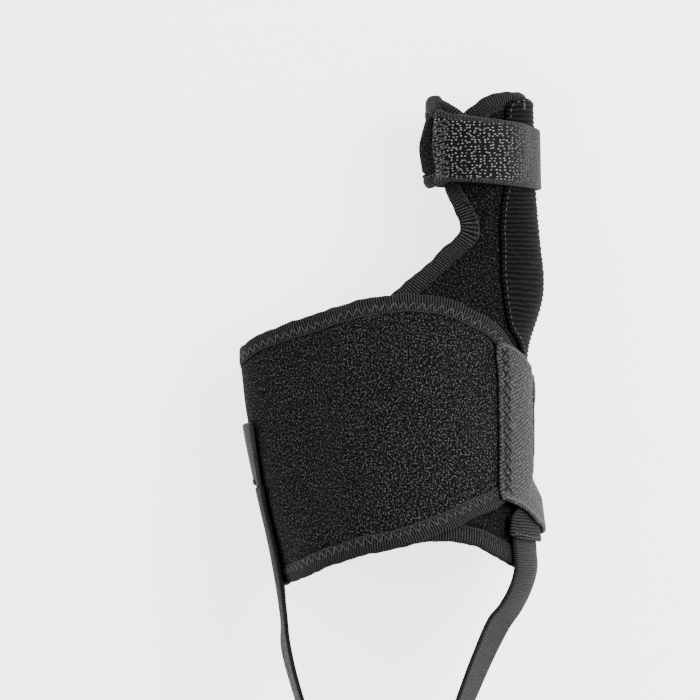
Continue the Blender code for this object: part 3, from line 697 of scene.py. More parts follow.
def closed_sheet(top, bottom):
    """Index quads of two grids of points that share their rim, so that the sheet is closed all round."""
    rows, columns = top.shape[:2]
    number = rows * columns
    upper = np.arange(number).reshape(rows, columns)
    lower = upper + number
    lower[0], lower[-1], lower[:, 0], lower[:, -1] = upper[0], upper[-1], upper[:, 0], upper[:, -1]

    def quads(index):
        """Quads between neighbouring rows and columns."""
        return np.stack([index[:-1, :-1], index[1:, :-1], index[1:, 1:], index[:-1, 1:]], -1).reshape(-1, 4)

    return np.concatenate([top.reshape(-1, 3), bottom.reshape(-1, 3)]), np.concatenate(
        [quads(upper), quads(lower)[:, ::-1]]
    )


def spread(number):
    """Shares from 0 to 1 that stand closer together near both ends, half even and half cosine."""
    even = np.linspace(0, 1, number)
    return 0.5 * even + 0.25 * (1 - np.cos(np.pi * even))


def four_sided(places, corners, grid):
    """A grid of flat places inside a loop whose four sides meet at the given corners: the sum of the two
    straight blends between facing sides, less the blend of the corners."""
    line = dense_line(places)
    cuts = [int(round(c * PER_PLACE)) for c in corners]
    sides = []
    for k in range(4):
        first, last = cuts[k], cuts[(k + 1) % 4]
        last += len(line) if last <= first else 0
        sides.append(line[np.arange(first, last + 1) % len(line)])
    u, v = spread(grid[0]), spread(grid[1])
    first, far = read_at(sides[0], u), read_at(sides[1], v)
    last, near = read_at(sides[2][::-1], u), read_at(sides[3][::-1], v)
    u, v = u[:, None, None], v[None, :, None]
    at_corners = (1 - u) * ((1 - v) * first[0] + v * last[0]) + u * ((1 - v) * first[-1] + v * last[-1])
    return (1 - v) * first[:, None] + v * last[:, None] + (1 - u) * near[None] + u * far[None] - at_corners


def round_edge(away, radius):
    """Half thickness share of a sheet at a distance from its edge: a quarter circle, then full."""
    short = 1 - np.clip(away / radius, 0, 1)
    return np.sqrt(np.maximum(1 - short * short, 0))


def sheet_in(places, corners, grid, base, thick, relief=None):
    """Points, faces, cloth places and edge distances in mm of a four-sided sheet with rounded edges that
    stands on its base: half its thickness times round_edge goes to each side of its middle."""
    flat = four_sided(places, corners, grid)
    loop = flat_loop(places, FINE_EDGE)
    away, inside = spacing(loop, flat)
    away = np.where(inside, away, 0)
    away[0], away[-1], away[:, 0], away[:, -1] = 0, 0, 0, 0
    low = base(flat)
    half = thick / 2
    share = round_edge(away, EDGE_ROUND * thick)
    bump = relief(flat, away) if relief else 0
    top = on_form(flat, low + half + (half + bump) * share)
    bottom = on_form(flat, low + half - half * share)
    points, faces = closed_sheet(top, bottom)
    i, j = grid[0] // 2, grid[1] // 2
    steps = np.cross(top[i + 1, j] - top[i - 1, j], top[i, j + 1] - top[i, j - 1])
    if (steps * outward(flat[i, j])).sum() < 0:
        faces = faces[:, ::-1]
    uv = np.concatenate([cloth_uv(flat).reshape(-1, 2)] * 2)
    edge = np.concatenate([away.ravel()] * 2) * 1000
    return points, faces, uv, edge


def stitches(name, starts, ends, height, cloth, radius=THREAD, crown=STITCH_CROWN):
    """Short stitches from each start to its end, each a round thread that dips into the cloth at both ends:
    its middle rises by radius times (STITCH_DIP + 4 crown t (1 - t)), and it thins where |2t - 1|^6 nears
    1."""
    part = np.linspace(0, 1, STITCH_STATIONS)
    flat = starts[:, None] * (1 - part[None, :, None]) + ends[:, None] * part[None, :, None]
    rise = radius * (STITCH_DIP + crown * 4 * part * (1 - part))
    middle = on_form(flat, height(flat) + rise[None])
    ahead = unit(np.gradient(middle, axis=1))
    out = outward(flat)
    side = unit(np.cross(ahead, out))
    out = unit(np.cross(side, ahead))
    thin = radius * np.sqrt(np.maximum(1 - (2 * part - 1) ** 6, 0.02))
    angle = np.linspace(0, TURN, STITCH_SIDES, endpoint=False)
    ring = np.cos(angle)[:, None] * side[:, :, None] + np.sin(angle)[:, None] * out[:, :, None]
    points = middle[:, :, None] + ring * thin[None, :, None, None]
    count, stations, sides = points.shape[:3]
    index = np.arange(points.size // 3).reshape(count, stations, sides)
    after = np.roll(index, -1, 2)
    quads = np.stack([index[:, :-1], index[:, 1:], after[:, 1:], after[:, :-1]], -1).reshape(-1, 4)
    caps = np.concatenate([index[:, 0], index[:, -1, ::-1]])
    uv = np.repeat(cloth_place(flat).reshape(-1, 2), sides, 0)
    return add_piece(name, points.reshape(-1, 3), [quads, caps], uv, cloth)


def zigzag(line, width, period):
    """Starts and ends of a zigzag of stitches along a flat line: evenly spaced places, moved half the width
    to one side and the other in turn."""
    number = max(4, int(form_run(line)[-1] / (period / 2)))
    middle = read_at(line, np.linspace(0, 1, number + 1))
    by_turn, by_along, side = side_of(middle, np.gradient(middle, axis=0))
    per_turn = (by_turn * by_turn).sum(1)
    move = np.stack([(side * by_turn).sum(1) / per_turn, (side * by_along).sum(1)], 1) * width / 2
    swap = np.where(np.arange(number + 1) % 2 == 0, 1.0, -1.0)[:, None]
    points = middle + move * swap
    return points[:-1], points[1:]


def running(line, stitch, gap):
    """Starts and ends of a running stitch along a flat line."""
    number = max(2, int(form_run(line)[-1] / (stitch + gap)))
    first = np.arange(number) / number
    return read_at(line, first), read_at(line, first + stitch / (stitch + gap) / number)


# Materials

BUMP_STRENGTH = 0.8
# Settings and inputs that many nodes share
FLAT = {"noise_dimensions": "2D"}
COLOURS = {"data_type": "RGBA"}
ADD, MULTIPLY, MULTIPLY_ADD, SINE = (
    {"operation": operation} for operation in ("ADD", "MULTIPLY", "MULTIPLY_ADD", "SINE")
)
FINE = {"Detail": 2.0, "Roughness": 0.6}
SOFT = {"Detail": 2.0, "Roughness": 0.55}


def linear(code):
    """An sRGB hex value as linear red, green, blue, and alpha 1."""
    parts = [int(code[k : k + 2], 16) / 255 for k in (0, 2, 4)]
    return (*[p / 12.92 if p <= 0.04045 else ((p + 0.055) / 1.055) ** 2.4 for p in parts], 1.0)


def add_node(tree, kind, inputs, stops=(), **settings):
    """A node of the kind with its settings, and (place, hex) stops on a colour ramp. Each input is a node,
    whose first output is linked to it, a (node, output) pair, or a plain value."""
    item = tree.nodes.new("ShaderNode" + kind)
    for key, value in settings.items():
        setattr(item, key, value)
    for key, value in inputs.items():
        source = value if isinstance(value, tuple) else (value, 0)
        if isinstance(source[0], bpy.types.Node):
            tree.links.new(source[0].outputs[source[1]], item.inputs[key])
        else:
            item.inputs[key].default_value = value
    for _ in stops[2:]:
        item.color_ramp.elements.new(0.5)
    for k, (place, code) in enumerate(stops):
        item.color_ramp.elements[k].position = place
        item.color_ramp.elements[k].color = linear(code)
    return item


def principled(name, inputs):
    """A material and its shader with inputs set."""
    material = bpy.data.materials.new(name)
    material.use_nodes = True
    shader = material.node_tree.nodes["Principled BSDF"]
    for key, value in inputs.items():
        shader.inputs[key].default_value = value
    return material, shader


def cloth_base(name, roughness, specular):
    """A material, add_node for its tree, its shader, and the cloth's UV in millimetres."""
    material, shader = principled(name, {"Roughness": roughness, "Specular IOR Level": specular})
    node = partial(add_node, material.node_tree)
    return material, node, shader, node("UVMap", {}, uv_map="cloth_mm")


def finish_cloth(node, shader, colour, height, depth):
    """Colour and relief signals into the shader; the depth is the relief's real depth in metres."""
    bump = node("Bump", {"Strength": BUMP_STRENGTH, "Distance": depth, "Height": height})
    links = shader.id_data.links
    links.new(colour[0].outputs[colour[1]], shader.inputs["Base Color"])
    links.new(bump.outputs["Normal"], shader.inputs["Normal"])


def wave_of(node, signal, pitch):
    """A sine of a signal in mm that repeats at a pitch in mm."""
    return node("Math", {0: node("Math", {0: signal, 1: TURN / pitch}, **MULTIPLY)}, **SINE)


def brushed_loop(name, dark, mid, light):
    """Nylon loop laminate, knitted and brushed: a dull nap of short tangled loops, whose crowns catch the
    light as specks about 0.7 mm apart over a near black ground. Two noises of about 2 cycles a millimetre,
    one of them slanted, make the specks, and one of 8 mm makes the nap a little uneven."""
    material, node, shader, place = cloth_base(name, 0.95, 0.04)
    slant = (0.0, 0.0, np.radians(32.0))
    slanted = node("Mapping", {"Vector": place, "Scale": (1.0, 0.6, 1.0), "Rotation": slant})
    tuft = node("TexNoise", {"Vector": place, "Scale": 2.0, "Detail": 1.5, "Roughness": 0.6}, **FLAT)
    fleck = node("TexNoise", {"Vector": slanted, "Scale": 2.3, "Detail": 1.0, "Roughness": 0.5}, **FLAT)
    broad = node("TexNoise", {"Vector": place, "Scale": 0.12, **SOFT}, **FLAT)
    part = node("Math", {0: fleck, 1: 0.45}, **MULTIPLY)
    both = node("Math", {0: tuft, 1: 0.55, 2: part}, **MULTIPLY_ADD)
    drift = node("Math", {0: broad, 1: 0.03, 2: -0.015}, **MULTIPLY_ADD)
    signal = node("Math", {0: both, 1: drift}, **ADD)
    colour = node("ValToRGB", {"Fac": signal}, ((0.38, dark), (0.53, mid), (0.67, light)))
    finish_cloth(node, shader, (colour, 0), both, 0.0003)
    return material


def ribbed(name, dark, light, pitch, along_axis, roughness, wander=0.35, edge_line=None):
    """Tape, elastic or webbing woven with cross ribs at a pitch in mm: rounded cords, a sine of the place
    along an axis, with dark gaps between them. A noise moves them by up to half the wander in mm, and
    another one breaks them into yarns. The edge line is the width in mm and colour of a lighter first cord
    of a tape."""
    material, node, shader, place = cloth_base(name, roughness, 0.05)
    split = node("SeparateXYZ", {"Vector": place})
    drift = node("TexNoise", {"Vector": place, "Scale": 0.30, **SOFT}, **FLAT)
    shift = node("Math", {0: drift, 1: wander, 2: -wander / 2}, **MULTIPLY_ADD)
    run = node("Math", {0: (split, along_axis), 1: shift}, **ADD)
    cords = node("Math", {0: wave_of(node, run, pitch), 1: 0.5, 2: 0.5}, **MULTIPLY_ADD)
    grain = node("TexNoise", {"Vector": place, "Scale": 2.6, **FINE}, **FLAT)
    yarns = node("Math", {0: grain, 1: 1.4, 2: -0.1}, **MULTIPLY_ADD)
    signal = node("Math", {0: cords, 1: yarns}, **MULTIPLY)
    colour = (node("ValToRGB", {"Fac": signal}, ((0.18, dark), (0.72, light))), 0)
    if edge_line:
        line = node("Math", {0: (split, "Y"), 1: edge_line[0]}, operation="LESS_THAN")
        mix = node("Mix", {"Factor": line, "A": colour, "B": linear(edge_line[1])}, **COLOURS)
        colour = (mix, "Result")
    finish_cloth(node, shader, colour, signal, 0.00025)
    return material


def hook_tape(name, dark, light, plain, pale_hooks):
    """Nylon hook tape: a field of cut hooks about 1 mm apart, their crowns real relief but their light colour
    a painted highlight, on grey stems over a dark ground, woven selvedges with ribs 0.75 mm apart and no
    hooks, and a stretch where the hooks show paler grey and flatter. A crown is 1 less 2.7 times the distance
    to the nearest of scattered points, times a noise."""
    material, node, shader, place = cloth_base(name, 0.70, 0.10)
    points = {"Vector": place, "Scale": 1.0, "Randomness": 0.62}
    hooks = node("TexVoronoi", points, voronoi_dimensions="2D")
    grain = node("TexNoise", {"Vector": place, "Scale": 1.5, **FINE}, **FLAT)
    near = node("Math", {0: hooks, 1: -2.7, 2: 1.0}, **MULTIPLY_ADD, use_clamp=True)
    uneven = node("Math", {0: grain, 1: 2.0, 2: -0.1}, **MULTIPLY_ADD)
    crown = node("Math", {0: near, 1: uneven}, **MULTIPLY)
    split = node("SeparateXYZ", {"Vector": place})
    rib = node("Math", {0: wave_of(node, split, 0.75), 1: 0.16, 2: grain}, **MULTIPLY_ADD)
    half_grain = node("Math", {0: grain, 1: 0.5}, **MULTIPLY)
    paler_signal = node("Math", {0: crown, 1: 0.6, 2: half_grain}, **MULTIPLY_ADD)
    # The crowns' relief is real in the bump; their light colour on this ramp is a painted highlight
    field = node("ValToRGB", {"Fac": crown}, ((0.04, dark), (0.34, plain), (0.80, light)))
    paler_field = node("ValToRGB", {"Fac": paler_signal}, ((0.16, dark), (0.50, pale_hooks)))
    side = node("ValToRGB", {"Fac": rib}, ((0.25, dark), (0.70, plain)))
    edge = (node("Attribute", {}, attribute_name="selvedge"), "Fac")
    # Mark of the stretch where the hooks show paler grey and flatter
    used = (node("Attribute", {}, attribute_name="pale_hooks"), "Fac")
    middle = node("Mix", {"Factor": used, "A": field, "B": paler_field}, **COLOURS)
    colour = node("Mix", {"Factor": edge, "A": (middle, "Result"), "B": side}, **COLOURS)
    low_rib = node("Math", {0: rib, 1: 0.3}, **MULTIPLY)
    height = node("Mix", {"Factor": edge, "A": crown, "B": low_rib}, data_type="FLOAT")
    finish_cloth(node, shader, (colour, "Result"), (height, "Result"), 0.0005)
    return material


def twill_tape(name, dark, mid, light):
    """Woven tab tape, grey polyester twill: floats in slanting rows 1.1 mm apart, each a light speck 1.25 mm
    from the next, and a lighter line of folded cloth at the hem. The rows and the specks are sines of
    slanted places."""
    material, node, shader, place = cloth_base(name, 0.75, 0.10)
    split = node("SeparateXYZ", {"Vector": place})
    drift = node("TexNoise", {"Vector": place, "Scale": 0.7, **SOFT}, **FLAT)
    slope = node("Math", {0: (split, "Y"), 1: 0.70, 2: split}, **MULTIPLY_ADD)
    slant = node("Math", {0: drift, 1: 0.9, 2: slope}, **MULTIPLY_ADD)
    other = node("Math", {0: split, 1: -0.55, 2: (split, "Y")}, **MULTIPLY_ADD)
    weave = node("Math", {0: wave_of(node, slant, 1.10), 1: wave_of(node, other, 1.25)}, **ADD)
    grain = node("TexNoise", {"Vector": place, "Scale": 1.2, **FINE}, **FLAT)
    signal = node("Math", {0: weave, 1: 0.11, 2: grain}, **MULTIPLY_ADD)
    cloth = node("ValToRGB", {"Fac": signal}, ((0.28, dark), (0.50, mid), (0.76, light)))
    hem = (node("Attribute", {}, attribute_name="hem"), "Fac")
    colour = node("Mix", {"Factor": hem, "A": cloth, "B": linear(light)}, **COLOURS)
    finish_cloth(node, shader, (colour, "Result"), signal, 0.0003)
    return material


def plain_knit(name, dark, light):
    """Fine nylon jersey lining, knitted: a smooth dark face with a faint rib, a noise drawn out along the
    cloth."""
    material, node, shader, place = cloth_base(name, 0.85, 0.10)
    drawn = node("Mapping", {"Vector": place, "Scale": (1.0, 0.3, 1.0)})
    grain = node("TexNoise", {"Vector": drawn, "Scale": 1.4, **FINE}, **FLAT)
    colour = node("ValToRGB", {"Fac": grain}, ((0.35, dark), (0.70, light)))
    finish_cloth(node, shader, (colour, 0), grain, 0.00015)
    return material


def spun_thread(name, dark, light):
    """Spun polyester sewing thread: a dull twisted cord with slightly lighter strands."""
    material, node, shader, place = cloth_base(name, 0.60, 0.25)
    grain = node("TexNoise", {"Vector": place, "Scale": 2.5, "Detail": 1.0, "Roughness": 0.55}, **FLAT)
    colour = node("ValToRGB", {"Fac": grain}, ((0.35, dark), (0.65, light)))
    finish_cloth(node, shader, (colour, 0), grain, 0.00005)
    return material


LOOP_CLOTH = brushed_loop("nylon_loop_laminate_brushed", "060607", "0e0e0f", "4c4c50")
PANEL_CLOTH = brushed_loop("nylon_loop_laminate_short_pile", "040405", "09090a", "353538")
LINING = plain_knit("nylon_jersey_lining_knitted", "0a0a0b", "171719")
TAPE_CLOTH = ribbed(
    "polyester_binding_tape_woven", "070708", "3c3c3e", 0.83, "X", 0.80, edge_line=(0.35, "303032")
)
POCKET_CLOTH = ribbed("ribbed_elastic_knitted", "030304", "1a1a1b", 1.50, "Y", 0.85, wander=0.9)
WEBBING_CLOTH = ribbed("elastic_webbing_woven", "070708", "303032", 0.72, "X", 0.75)
PATCH_CLOTH = ribbed("polyester_patch_woven", "060607", "303032", 0.95, "Y", 0.85, wander=0.8)
# Hook tape: its light colour a8a8aa is a painted highlight on the hook crowns
HOOK_CLOTH = hook_tape("nylon_hook_tape_cut", "080809", "a8a8aa", "303032", "3e3e40")
TAB_CLOTH = twill_tape("polyester_twill_tape_woven", "151516", "29292b", "4c4c4e")
DARK_THREAD = spun_thread("polyester_thread_black_spun", "040405", "0a0a0b")
GREY_THREAD = spun_thread("polyester_thread_grey_spun", "242426", "48484a")


# The layers

layer = LAMINATE + LAYER_GAP
round_again = np.array([360.0, 0.0])

PANEL_PLACES = [
    turns_of(PANEL_TOP_EDGE),
    cuff_turns(UNDER_FLAP_EDGE),
    at_turns(CUFF_FRONT),
    cuff_turns(OVER_FLAP_EDGE, 360.0),
    at_turns(PANEL_SOLE_EDGE),
]
WRAP_PLACES = [
    at_turns(BAND_FRONT_SOLE),
    turns_of(BAND_FRONT_TOP, 360.0),
    turns_of(BAND_END, 360.0),
    turns_of(BAND_BACK_TOP, 360.0),
    at_turns(BAND_BACK_SOLE),
    at_turns(BAND_START),
]
TAB_SIDES = (TAB_BACK, TAB_TIP, TAB_FRONT)
TAB_PLACES = [turns_of(TAB_SEAM, 360.0), *[at_turns(rows, 360.0) for rows in TAB_SIDES]]
panel_loop, wrap_loop, pocket_loop, strap_loop, patch_loop = (
    flat_loop(places, COARSE_EDGE)
    for places in (
        PANEL_PLACES, WRAP_PLACES, at_turns(POCKET_EDGE), at_turns(STRAP_BELOW_PATCH), at_turns(HEEL_PATCH)
    )
)

under_flap = lift([panel_loop + round_again], layer, SHORT_RAMP)
over_panel = lift([panel_loop, panel_loop + round_again], layer)
over_pocket = lift([pocket_loop + round_again], POCKET + LAYER_GAP)
lapped_flap = lift([panel_loop], layer)
under_start = lift([wrap_loop + round_again], layer, SHORT_RAMP)
at_wrap_end = lift([wrap_loop], layer, SHORT_RAMP)
over_strap = lift([strap_loop, strap_loop + round_again], WEBBING + LAYER_GAP, SHORT_RAMP)
over_patch = lift([patch_loop + round_again], PATCH + LAYER_GAP, SHORT_RAMP)


def one_layer(flat):
    """Height over one laminate."""
    return layer + 0 * flat[..., 0]


def slack_layer(flat):
    """Height over one laminate where the strap lies a little loose on it."""
    return one_layer(flat) + STRAP_SLACK


def toe_strap_base(flat):
    """Height under the cuff's strap: the panel, and the lapped flap or the pocket, whichever is higher."""
    return over_panel(flat - round_again) + np.maximum(lapped_flap(flat), over_pocket(flat))


def patch_base(flat):
    """Height under the patch: the panel and the heel strap's end."""
    return over_panel(flat) + over_strap(flat)


def tab_base(flat):
    """Height under the tab: the panel, the band's start, and the highest of the band's end, the pocket, and
    the heel strap with its patch."""
    below = np.maximum(at_wrap_end(flat), over_pocket(flat))
    below = np.maximum(below, over_strap(flat) + over_patch(flat))
    return over_panel(flat) + below + under_start(flat)


def top_of(base, thick):
    """Height of the upper face of a cloth on its base."""
    return lambda flat: base(flat) + thick


# Panel and wrap, with their binding


def bound_cloth(name, places, base, cloth, node_name):
    """A laminate wall that crowns by CROWN within CROWN_RISE of its tape, and thins by EDGE_PINCH on each
    face where the tape grips it, so that its rough rim is inside the tape."""

    def grip(deep):
        """How far each face is drawn in at a depth from the edge."""
        return EDGE_PINCH * ease((TAPE_WIDTH + PINCH_PAST - deep) / PINCH_FADE)

    def high(flat, deep):
        """Height of the outer face."""
        return base(flat) + LAMINATE + CROWN * ease((deep - TAPE_WIDTH) / CROWN_RISE) - grip(deep)

    def low(flat, deep):
        """Height of the inner face."""
        return base(flat) + grip(deep)

    loop = flat_loop(places, FINE_EDGE)
    points, flats, faces, which = cut_shell(loop, RIM_INSET, low, high, FINE_TURN, FINE_ALONG)
    uv, materials = cloth_uv(flats), [cloth, LINING]
    return add_piece(name, points, faces, uv, materials, node_name, which=which)


def fold_section(thick):
    """The tape's section from its edge on the outer face, round the half circle of the fold, to its edge on
    the inner face, and back inside: distance from the cloth's edge, height, and place across the tape in
    mm."""
    half = thick / 2
    turn = np.linspace(0, np.pi, 9)
    outer = [(d, thick) for d in np.linspace(TAPE_WIDTH, half, 8, endpoint=False)]
    outer += list(zip(half - half * np.sin(turn), half + half * np.cos(turn)))
    outer += [(d, 0.0) for d in np.linspace(half, TAPE_WIDTH, 8)[1:]]
    inner = [(TAPE_WIDTH, TAPE), (TAPE_WIDTH / 2, TAPE), (half, TAPE), (TAPE, half)]
    inner += [(half, thick - TAPE), (TAPE_WIDTH / 2, thick - TAPE), (TAPE_WIDTH, thick - TAPE)]
    section = np.array(outer + inner)
    return section, run_of(section) * 1000, len(outer)


def binding_tape(name, places, base, node_name, seed):
    """Tape folded over a cloth's edge: the U-shaped section carried along the loop, its edge wandering by a
    sum of sines, and swelling by half a sine between its fold and its edge."""
    loop = flat_loop(places, TAPE_STEP)
    section, across, outer = fold_section(LAMINATE)
    count = len(loop)
    run = form_run(loop)
    edge_low, step_low = base(loop), base(inward(loop, TAPE_WIDTH))
    rng = np.random.default_rng(seed)
    waves = sum(
        height * np.sin(TURN * run * round(run[-1] / length) / run[-1] + rng.uniform(0, TURN))
        for length, height in TAPE_WAVES
    )
    rings = []
    for k, (distance, height) in enumerate(section):
        share = distance / TAPE_WIDTH
        ring = inward(loop, distance + waves * (1 - 0.5 * share))
        swell = TAPE_SWELL * np.sin(np.pi * np.clip(share, 0, 1)) * (1 if height > LAMINATE / 2 else -1)
        low = edge_low * (1 - share) + step_low * share
        rings.append(on_form(ring, low + height + (swell if k < outer else 0)))
    faces = ring_faces(len(section), count)[:, ::-1]
    uv = np.stack([np.tile(run, len(section)) * 1000, np.repeat(across, count)], 1)
    return add_piece(name, np.concatenate(rings), faces, uv, TAPE_CLOTH, node_name)


toe_panel = bound_cloth("toe_panel_cloth", PANEL_PLACES, under_flap, PANEL_CLOTH, "toe_panel")
panel_tape = binding_tape("panel_tape", PANEL_PLACES, under_flap, "panel_binding", 11)
foot_wrap = bound_cloth("foot_wrap_cloth", WRAP_PLACES, over_panel, LOOP_CLOTH, "foot_wrap")
wrap_tape = binding_tape("wrap_tape", WRAP_PLACES, over_panel, "wrap_binding", 12)


# Pocket, tab, toe strap and patch


def pocket_ribs(flat, away):
    """Ribs across the pocket: a sine of the place along, drifting with two sines of the place round, and
    faded out at the seam."""
    place = cloth_place(flat)
    drift = sum(high * np.sin(place[..., 0] / length + phase) for high, length, phase in RIB_DRIFT)
    fade = ease((away - RIB_START) / RIB_FADE)
    return RIB_HEIGHT * np.sin(TURN * (place[..., 1] + drift) / (RIB_PITCH * 1000)) * fade


def selvedge_of(away):
    """Share of woven selvedge at a distance in mm from the strap's edge."""
    return ease((SELVEDGE - away) / SELVEDGE_FADE)


places = at_turns(POCKET_EDGE)
points, faces, uv, edge = sheet_in(places, POCKET_CORNERS, POCKET_GRID, over_panel, POCKET, pocket_ribs)
pocket = add_piece(
    "splint_pocket_cloth", points, faces, uv, POCKET_CLOTH, "splint_pocket"
)

places = at_turns(TOE_STRAP_FRONT + TOE_STRAP_BACK)
points, faces, uv, edge = sheet_in(places, TOE_STRAP_CORNERS, TOE_STRAP_GRID, toe_strap_base, WEBBING)
side = np.tile(spread(TOE_STRAP_GRID[1]) * TOE_STRAP_WIDTH * 1000, 2 * TOE_STRAP_GRID[0])
# From a little before HOME_TURN on round the inner side the strap shows paler, flatter-looking grey hooks
marks = {
    "selvedge": selvedge_of(np.minimum(side, TOE_STRAP_WIDTH * 1000 - side)),
    "pale_hooks": ease((uv[:, 0] - PALE_HOOKS_START) / PALE_HOOKS_FADE),
}
toe_strap = add_piece("toe_strap_cloth", points, faces, uv, HOOK_CLOTH, "toe_strap", marks=marks)

points, faces, uv, edge = sheet_in(np.concatenate(TAB_PLACES), TAB_CORNERS, TAB_GRID, tab_base, WEBBING)
from_seam = np.tile(np.repeat(spread(TAB_GRID[0]), TAB_GRID[1]), 2) * TAB_REACH * 1000
hem = ease((edge - HEM[0]) / HEM_FADE) * ease((HEM[1] - edge) / HEM_FADE)
hem = hem * ease((from_seam - HEM_START) / HEM_START_FADE)
tab = add_piece("wrap_tab_cloth", points, faces, uv, TAB_CLOTH, "wrap_tab", marks={"hem": hem})

points, faces, uv, edge = sheet_in(at_turns(HEEL_PATCH), PATCH_CORNERS, PATCH_GRID, patch_base, PATCH)
patch = add_piece("strap_patch_cloth", points, faces, uv, PATCH_CLOTH, "strap_patch")


# Heel strap and its hook


def lying(turn, along, width, base):
    """A row of points across a strap that lies on the form, from its lower edge to its upper one: the turns
    at which the distance run on the form from the middle turn is the strap's own."""
    around = turn + BESIDE
    flat = np.stack([around, np.full(len(around), along * BAND_LENGTH)], 1)
    run = run_of(on_form(flat, base(flat)))
    share = (spread(STRAP_ACROSS) - 0.5) * (1 if turn > 90 else -1)
    turns = np.interp(run[len(run) // 2] + share * width, run, around)
    flat = np.stack([turns, np.full(STRAP_ACROSS, along * BAND_LENGTH)], 1)
    return on_form(flat, base(flat))


def heel_strap_rows(inner_base, outer_base):
    """Points of the heel strap's inner face, one row per station from the inner side round the back: on the
    form, blended over to the free line, on that line, and back."""
    share = spread(STRAP_ACROSS) - 0.5
    line = np.array(STRAP_FREE) * (HALF_WIDTH, HEEL_BACK, HEEL_LEVEL, 1.0)
    heading = unit(np.gradient(line[:, :3], axis=0))
    away = unit(np.cross((0.0, 0.0, 1.0), heading))
    tilt = np.radians(line[:, 3])[:, None]
    side = np.array([0.0, 0.0, 1.0]) * np.cos(tilt) - away * np.sin(tilt)
    loose = line[:, None, :3] + side[:, None] * (share * HEEL_STRAP_WIDTH)[None, :, None]
    first, last = (
        [(1 - left) * lying(turn, along, HEEL_STRAP_WIDTH, base) + left * end for turn, along, left in rows]
        for rows, base, end in (
            (STRAP_ON_FORM, inner_base, loose[0]), (STRAP_OFF_FORM, outer_base, loose[-1])
        )
    )
    return np.array([*first, *loose[1:-1], *last])


def smooth_stations(stations):
    """More stations between the given ones, on a smooth line through them."""
    ends = np.concatenate([[2 * stations[0] - stations[1]], stations, [2 * stations[-1] - stations[-2]]])
    return np.concatenate([through(ends[:-3], ends[1:-2], ends[2:-1], ends[3:], PER_ROW), stations[-1:]])


def strip(name, rows, width, cloth, node_name, flip, hooked):
    """A woven strap over rows of points of its inner face, with rounded edges; its cloth places come from
    its own run, and a hooked one is marked with selvedges and as paler, flatter-looking hooks all along."""
    inner = smooth_stations(rows)
    down, across = np.gradient(inner, axis=0), np.gradient(inner, axis=1)
    out = unit(np.cross(down, across)) * (-1 if flip else 1)
    middle = inner + out * WEBBING / 2
    run = run_of(inner.mean(1))
    sides = spread(STRAP_ACROSS) * width
    ends = np.minimum(run, run[-1] - run)
    away = np.minimum(np.minimum(sides, width - sides)[None, :], ends[:, None])
    half = round_edge(away, EDGE_ROUND * WEBBING)[..., None] * WEBBING / 2
    points, faces = closed_sheet(middle + out * half, middle - out * half)
    uv = np.stack(np.broadcast_arrays(run[:, None], sides[None, :]), -1).reshape(-1, 2) * 1000
    selvedge = selvedge_of(np.tile(away.ravel() * 1000, 2))
    marks = {"selvedge": selvedge, "pale_hooks": np.ones(len(selvedge))} if hooked else None
    faces = faces[:, ::-1] if flip else faces
    return add_piece(name, points, faces, np.concatenate([uv, uv]), cloth, node_name, marks=marks)


strap_rows = heel_strap_rows(one_layer, slack_layer)
heel_strap = strip(
    "heel_strap_webbing", strap_rows, HEEL_STRAP_WIDTH, WEBBING_CLOTH, "heel_strap",
    True, False
)
hook_places = (*STRAP_HOOK[:-1], (STRAP_HOOK[-1][0], HOOK_JOIN))
hook_rows = np.array([lying(turn, along, HOOK_WIDTH, slack_layer) for turn, along in hook_places])
# The hook strap shows paler, flatter-looking grey hooks all along
strap_hook = strip(
    "strap_hook_tape", hook_rows, HOOK_WIDTH, HOOK_CLOTH, "strap_hook", False, True
)


# Sewing

line = closed_line(inward(flat_loop(WRAP_PLACES, FINE_EDGE), TAPE_WIDTH - WRAP_ROW_IN))
wrap_zigzag = stitches("wrap_zigzag", *zigzag(line, *WRAP_ROW), top_of(over_panel, LAMINATE), GREY_THREAD)
line = closed_line(inward(flat_loop(PANEL_PLACES, FINE_EDGE), TAPE_WIDTH - PANEL_ROW_IN))
panel_zigzag = stitches("panel_zigzag", *zigzag(line, *PANEL_ROW), top_of(under_flap, LAMINATE), DARK_THREAD)

tab_zigzag, tab_cross = (
    stitches(
        name, *zigzag(turns_of(TAB_LINE, 360.0), *row), top_of(tab_base, WEBBING), DARK_THREAD, SEAM_THREAD,
        SEAM_CROWN
    )
    for name, row in (("tab_zigzag", TAB_ROW), ("tab_cross", (-TAB_ROW[0], TAB_ROW[1])))
)

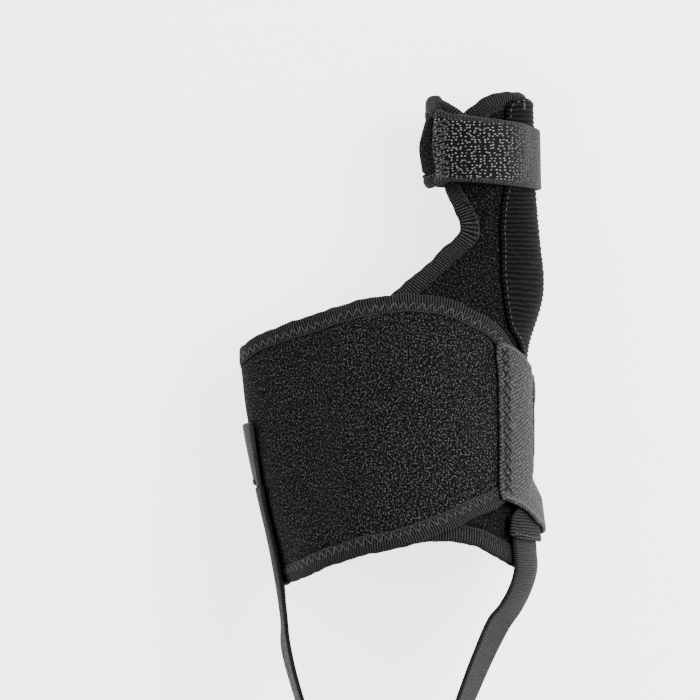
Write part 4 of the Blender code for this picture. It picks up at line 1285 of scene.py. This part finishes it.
pocket_top = top_of(over_panel, POCKET)
line = closed_line(inward(flat_loop(at_turns(POCKET_EDGE), FINE_EDGE), POCKET_ROW_IN))
pocket_row = stitches("pocket_row", *running(line, *POCKET_STITCH), pocket_top, GREY_THREAD)
strap_box = stitches(
    "toe_strap_box", *zigzag(at_turns(BOX_LINE), *BOX_ROW), top_of(toe_strap_base, WEBBING), GREY_THREAD,
    BOX_THREAD
)
bartack = stitches("pocket_bartack", *zigzag(at_turns(BARTACK_LINE), *BARTACK_ROW), pocket_top, GREY_THREAD)
hook_seam = stitches(
    "hook_seam", *zigzag(at_turns(HOOK_LINE), *HOOK_ROW), top_of(slack_layer, WEBBING), DARK_THREAD
)
patch_row = stitches(
    "patch_row", *running(at_turns(PATCH_LINE), *PATCH_STITCH), top_of(patch_base, PATCH), GREY_THREAD
)


# Floor, light and camera

BOARD_GLOW = 2.8
FLOOR_SIDE = 4.0
FLOOR_GAP = 0.0005
AIM = (-0.010, 0.010, 0.030)
WORLD_STRENGTH = 0.82
VIEW_SIZE = 0.224
CAMERA_PLACE = (-0.0128, 0.0256, 0.8)


# Opal acrylic board lit evenly from below, matt: a clean near white ground without a shadow line
BOARD = principled(
    "opal_acrylic_light_board",
    {
        "Base Color": linear("f4f4f5"),
        "Roughness": 0.95,
        "Specular IOR Level": 0.1,
        "Emission Color": linear("ffffff"),
        "Emission Strength": BOARD_GLOW,
    },
)[0]

floor_level = cad_box[0][2] - FLOOR_GAP
mesh = bpy.data.meshes.new("floor")
half = FLOOR_SIDE / 2
corners = ((-half, -half), (half, -half), (half, half), (-half, half))
mesh.from_pydata([(x, y, floor_level) for x, y in corners], [], [(0, 1, 2, 3)])
mesh.materials.append(BOARD)
floor = new_object("floor", mesh)


def soft_light(name, place, size, power):
    """A square area light that looks at AIM."""
    light = bpy.data.lights.new(name, "AREA")
    light.shape = "SQUARE"
    light.size = size
    light.energy = power
    item = new_object(name, light)
    item.location = place
    direction = np.array(AIM) - np.array(place)
    yaw = np.arctan2(direction[1], direction[0]) - np.pi / 2
    pitch = np.arctan2(np.hypot(direction[0], direction[1]), -direction[2])
    item.rotation_euler = (pitch, 0.0, yaw)
    item.visible_camera = False


soft_light("key", (0.70, 0.30, 0.90), 0.8, 24.0)
soft_light("fill", (-0.8, -0.3, 0.9), 1.0, 2.0)
world = bpy.data.worlds.new("studio")
world.use_nodes = True
world.node_tree.nodes["Background"].inputs["Color"].default_value = (1.0, 1.0, 1.0, 1.0)
world.node_tree.nodes["Background"].inputs["Strength"].default_value = WORLD_STRENGTH
bpy.context.scene.world = world

camera_data = bpy.data.cameras.new("camera")
camera_data.type = "ORTHO"
camera_data.ortho_scale = VIEW_SIZE
camera = new_object("camera", camera_data)
camera.location = CAMERA_PLACE
bpy.context.scene.camera = camera
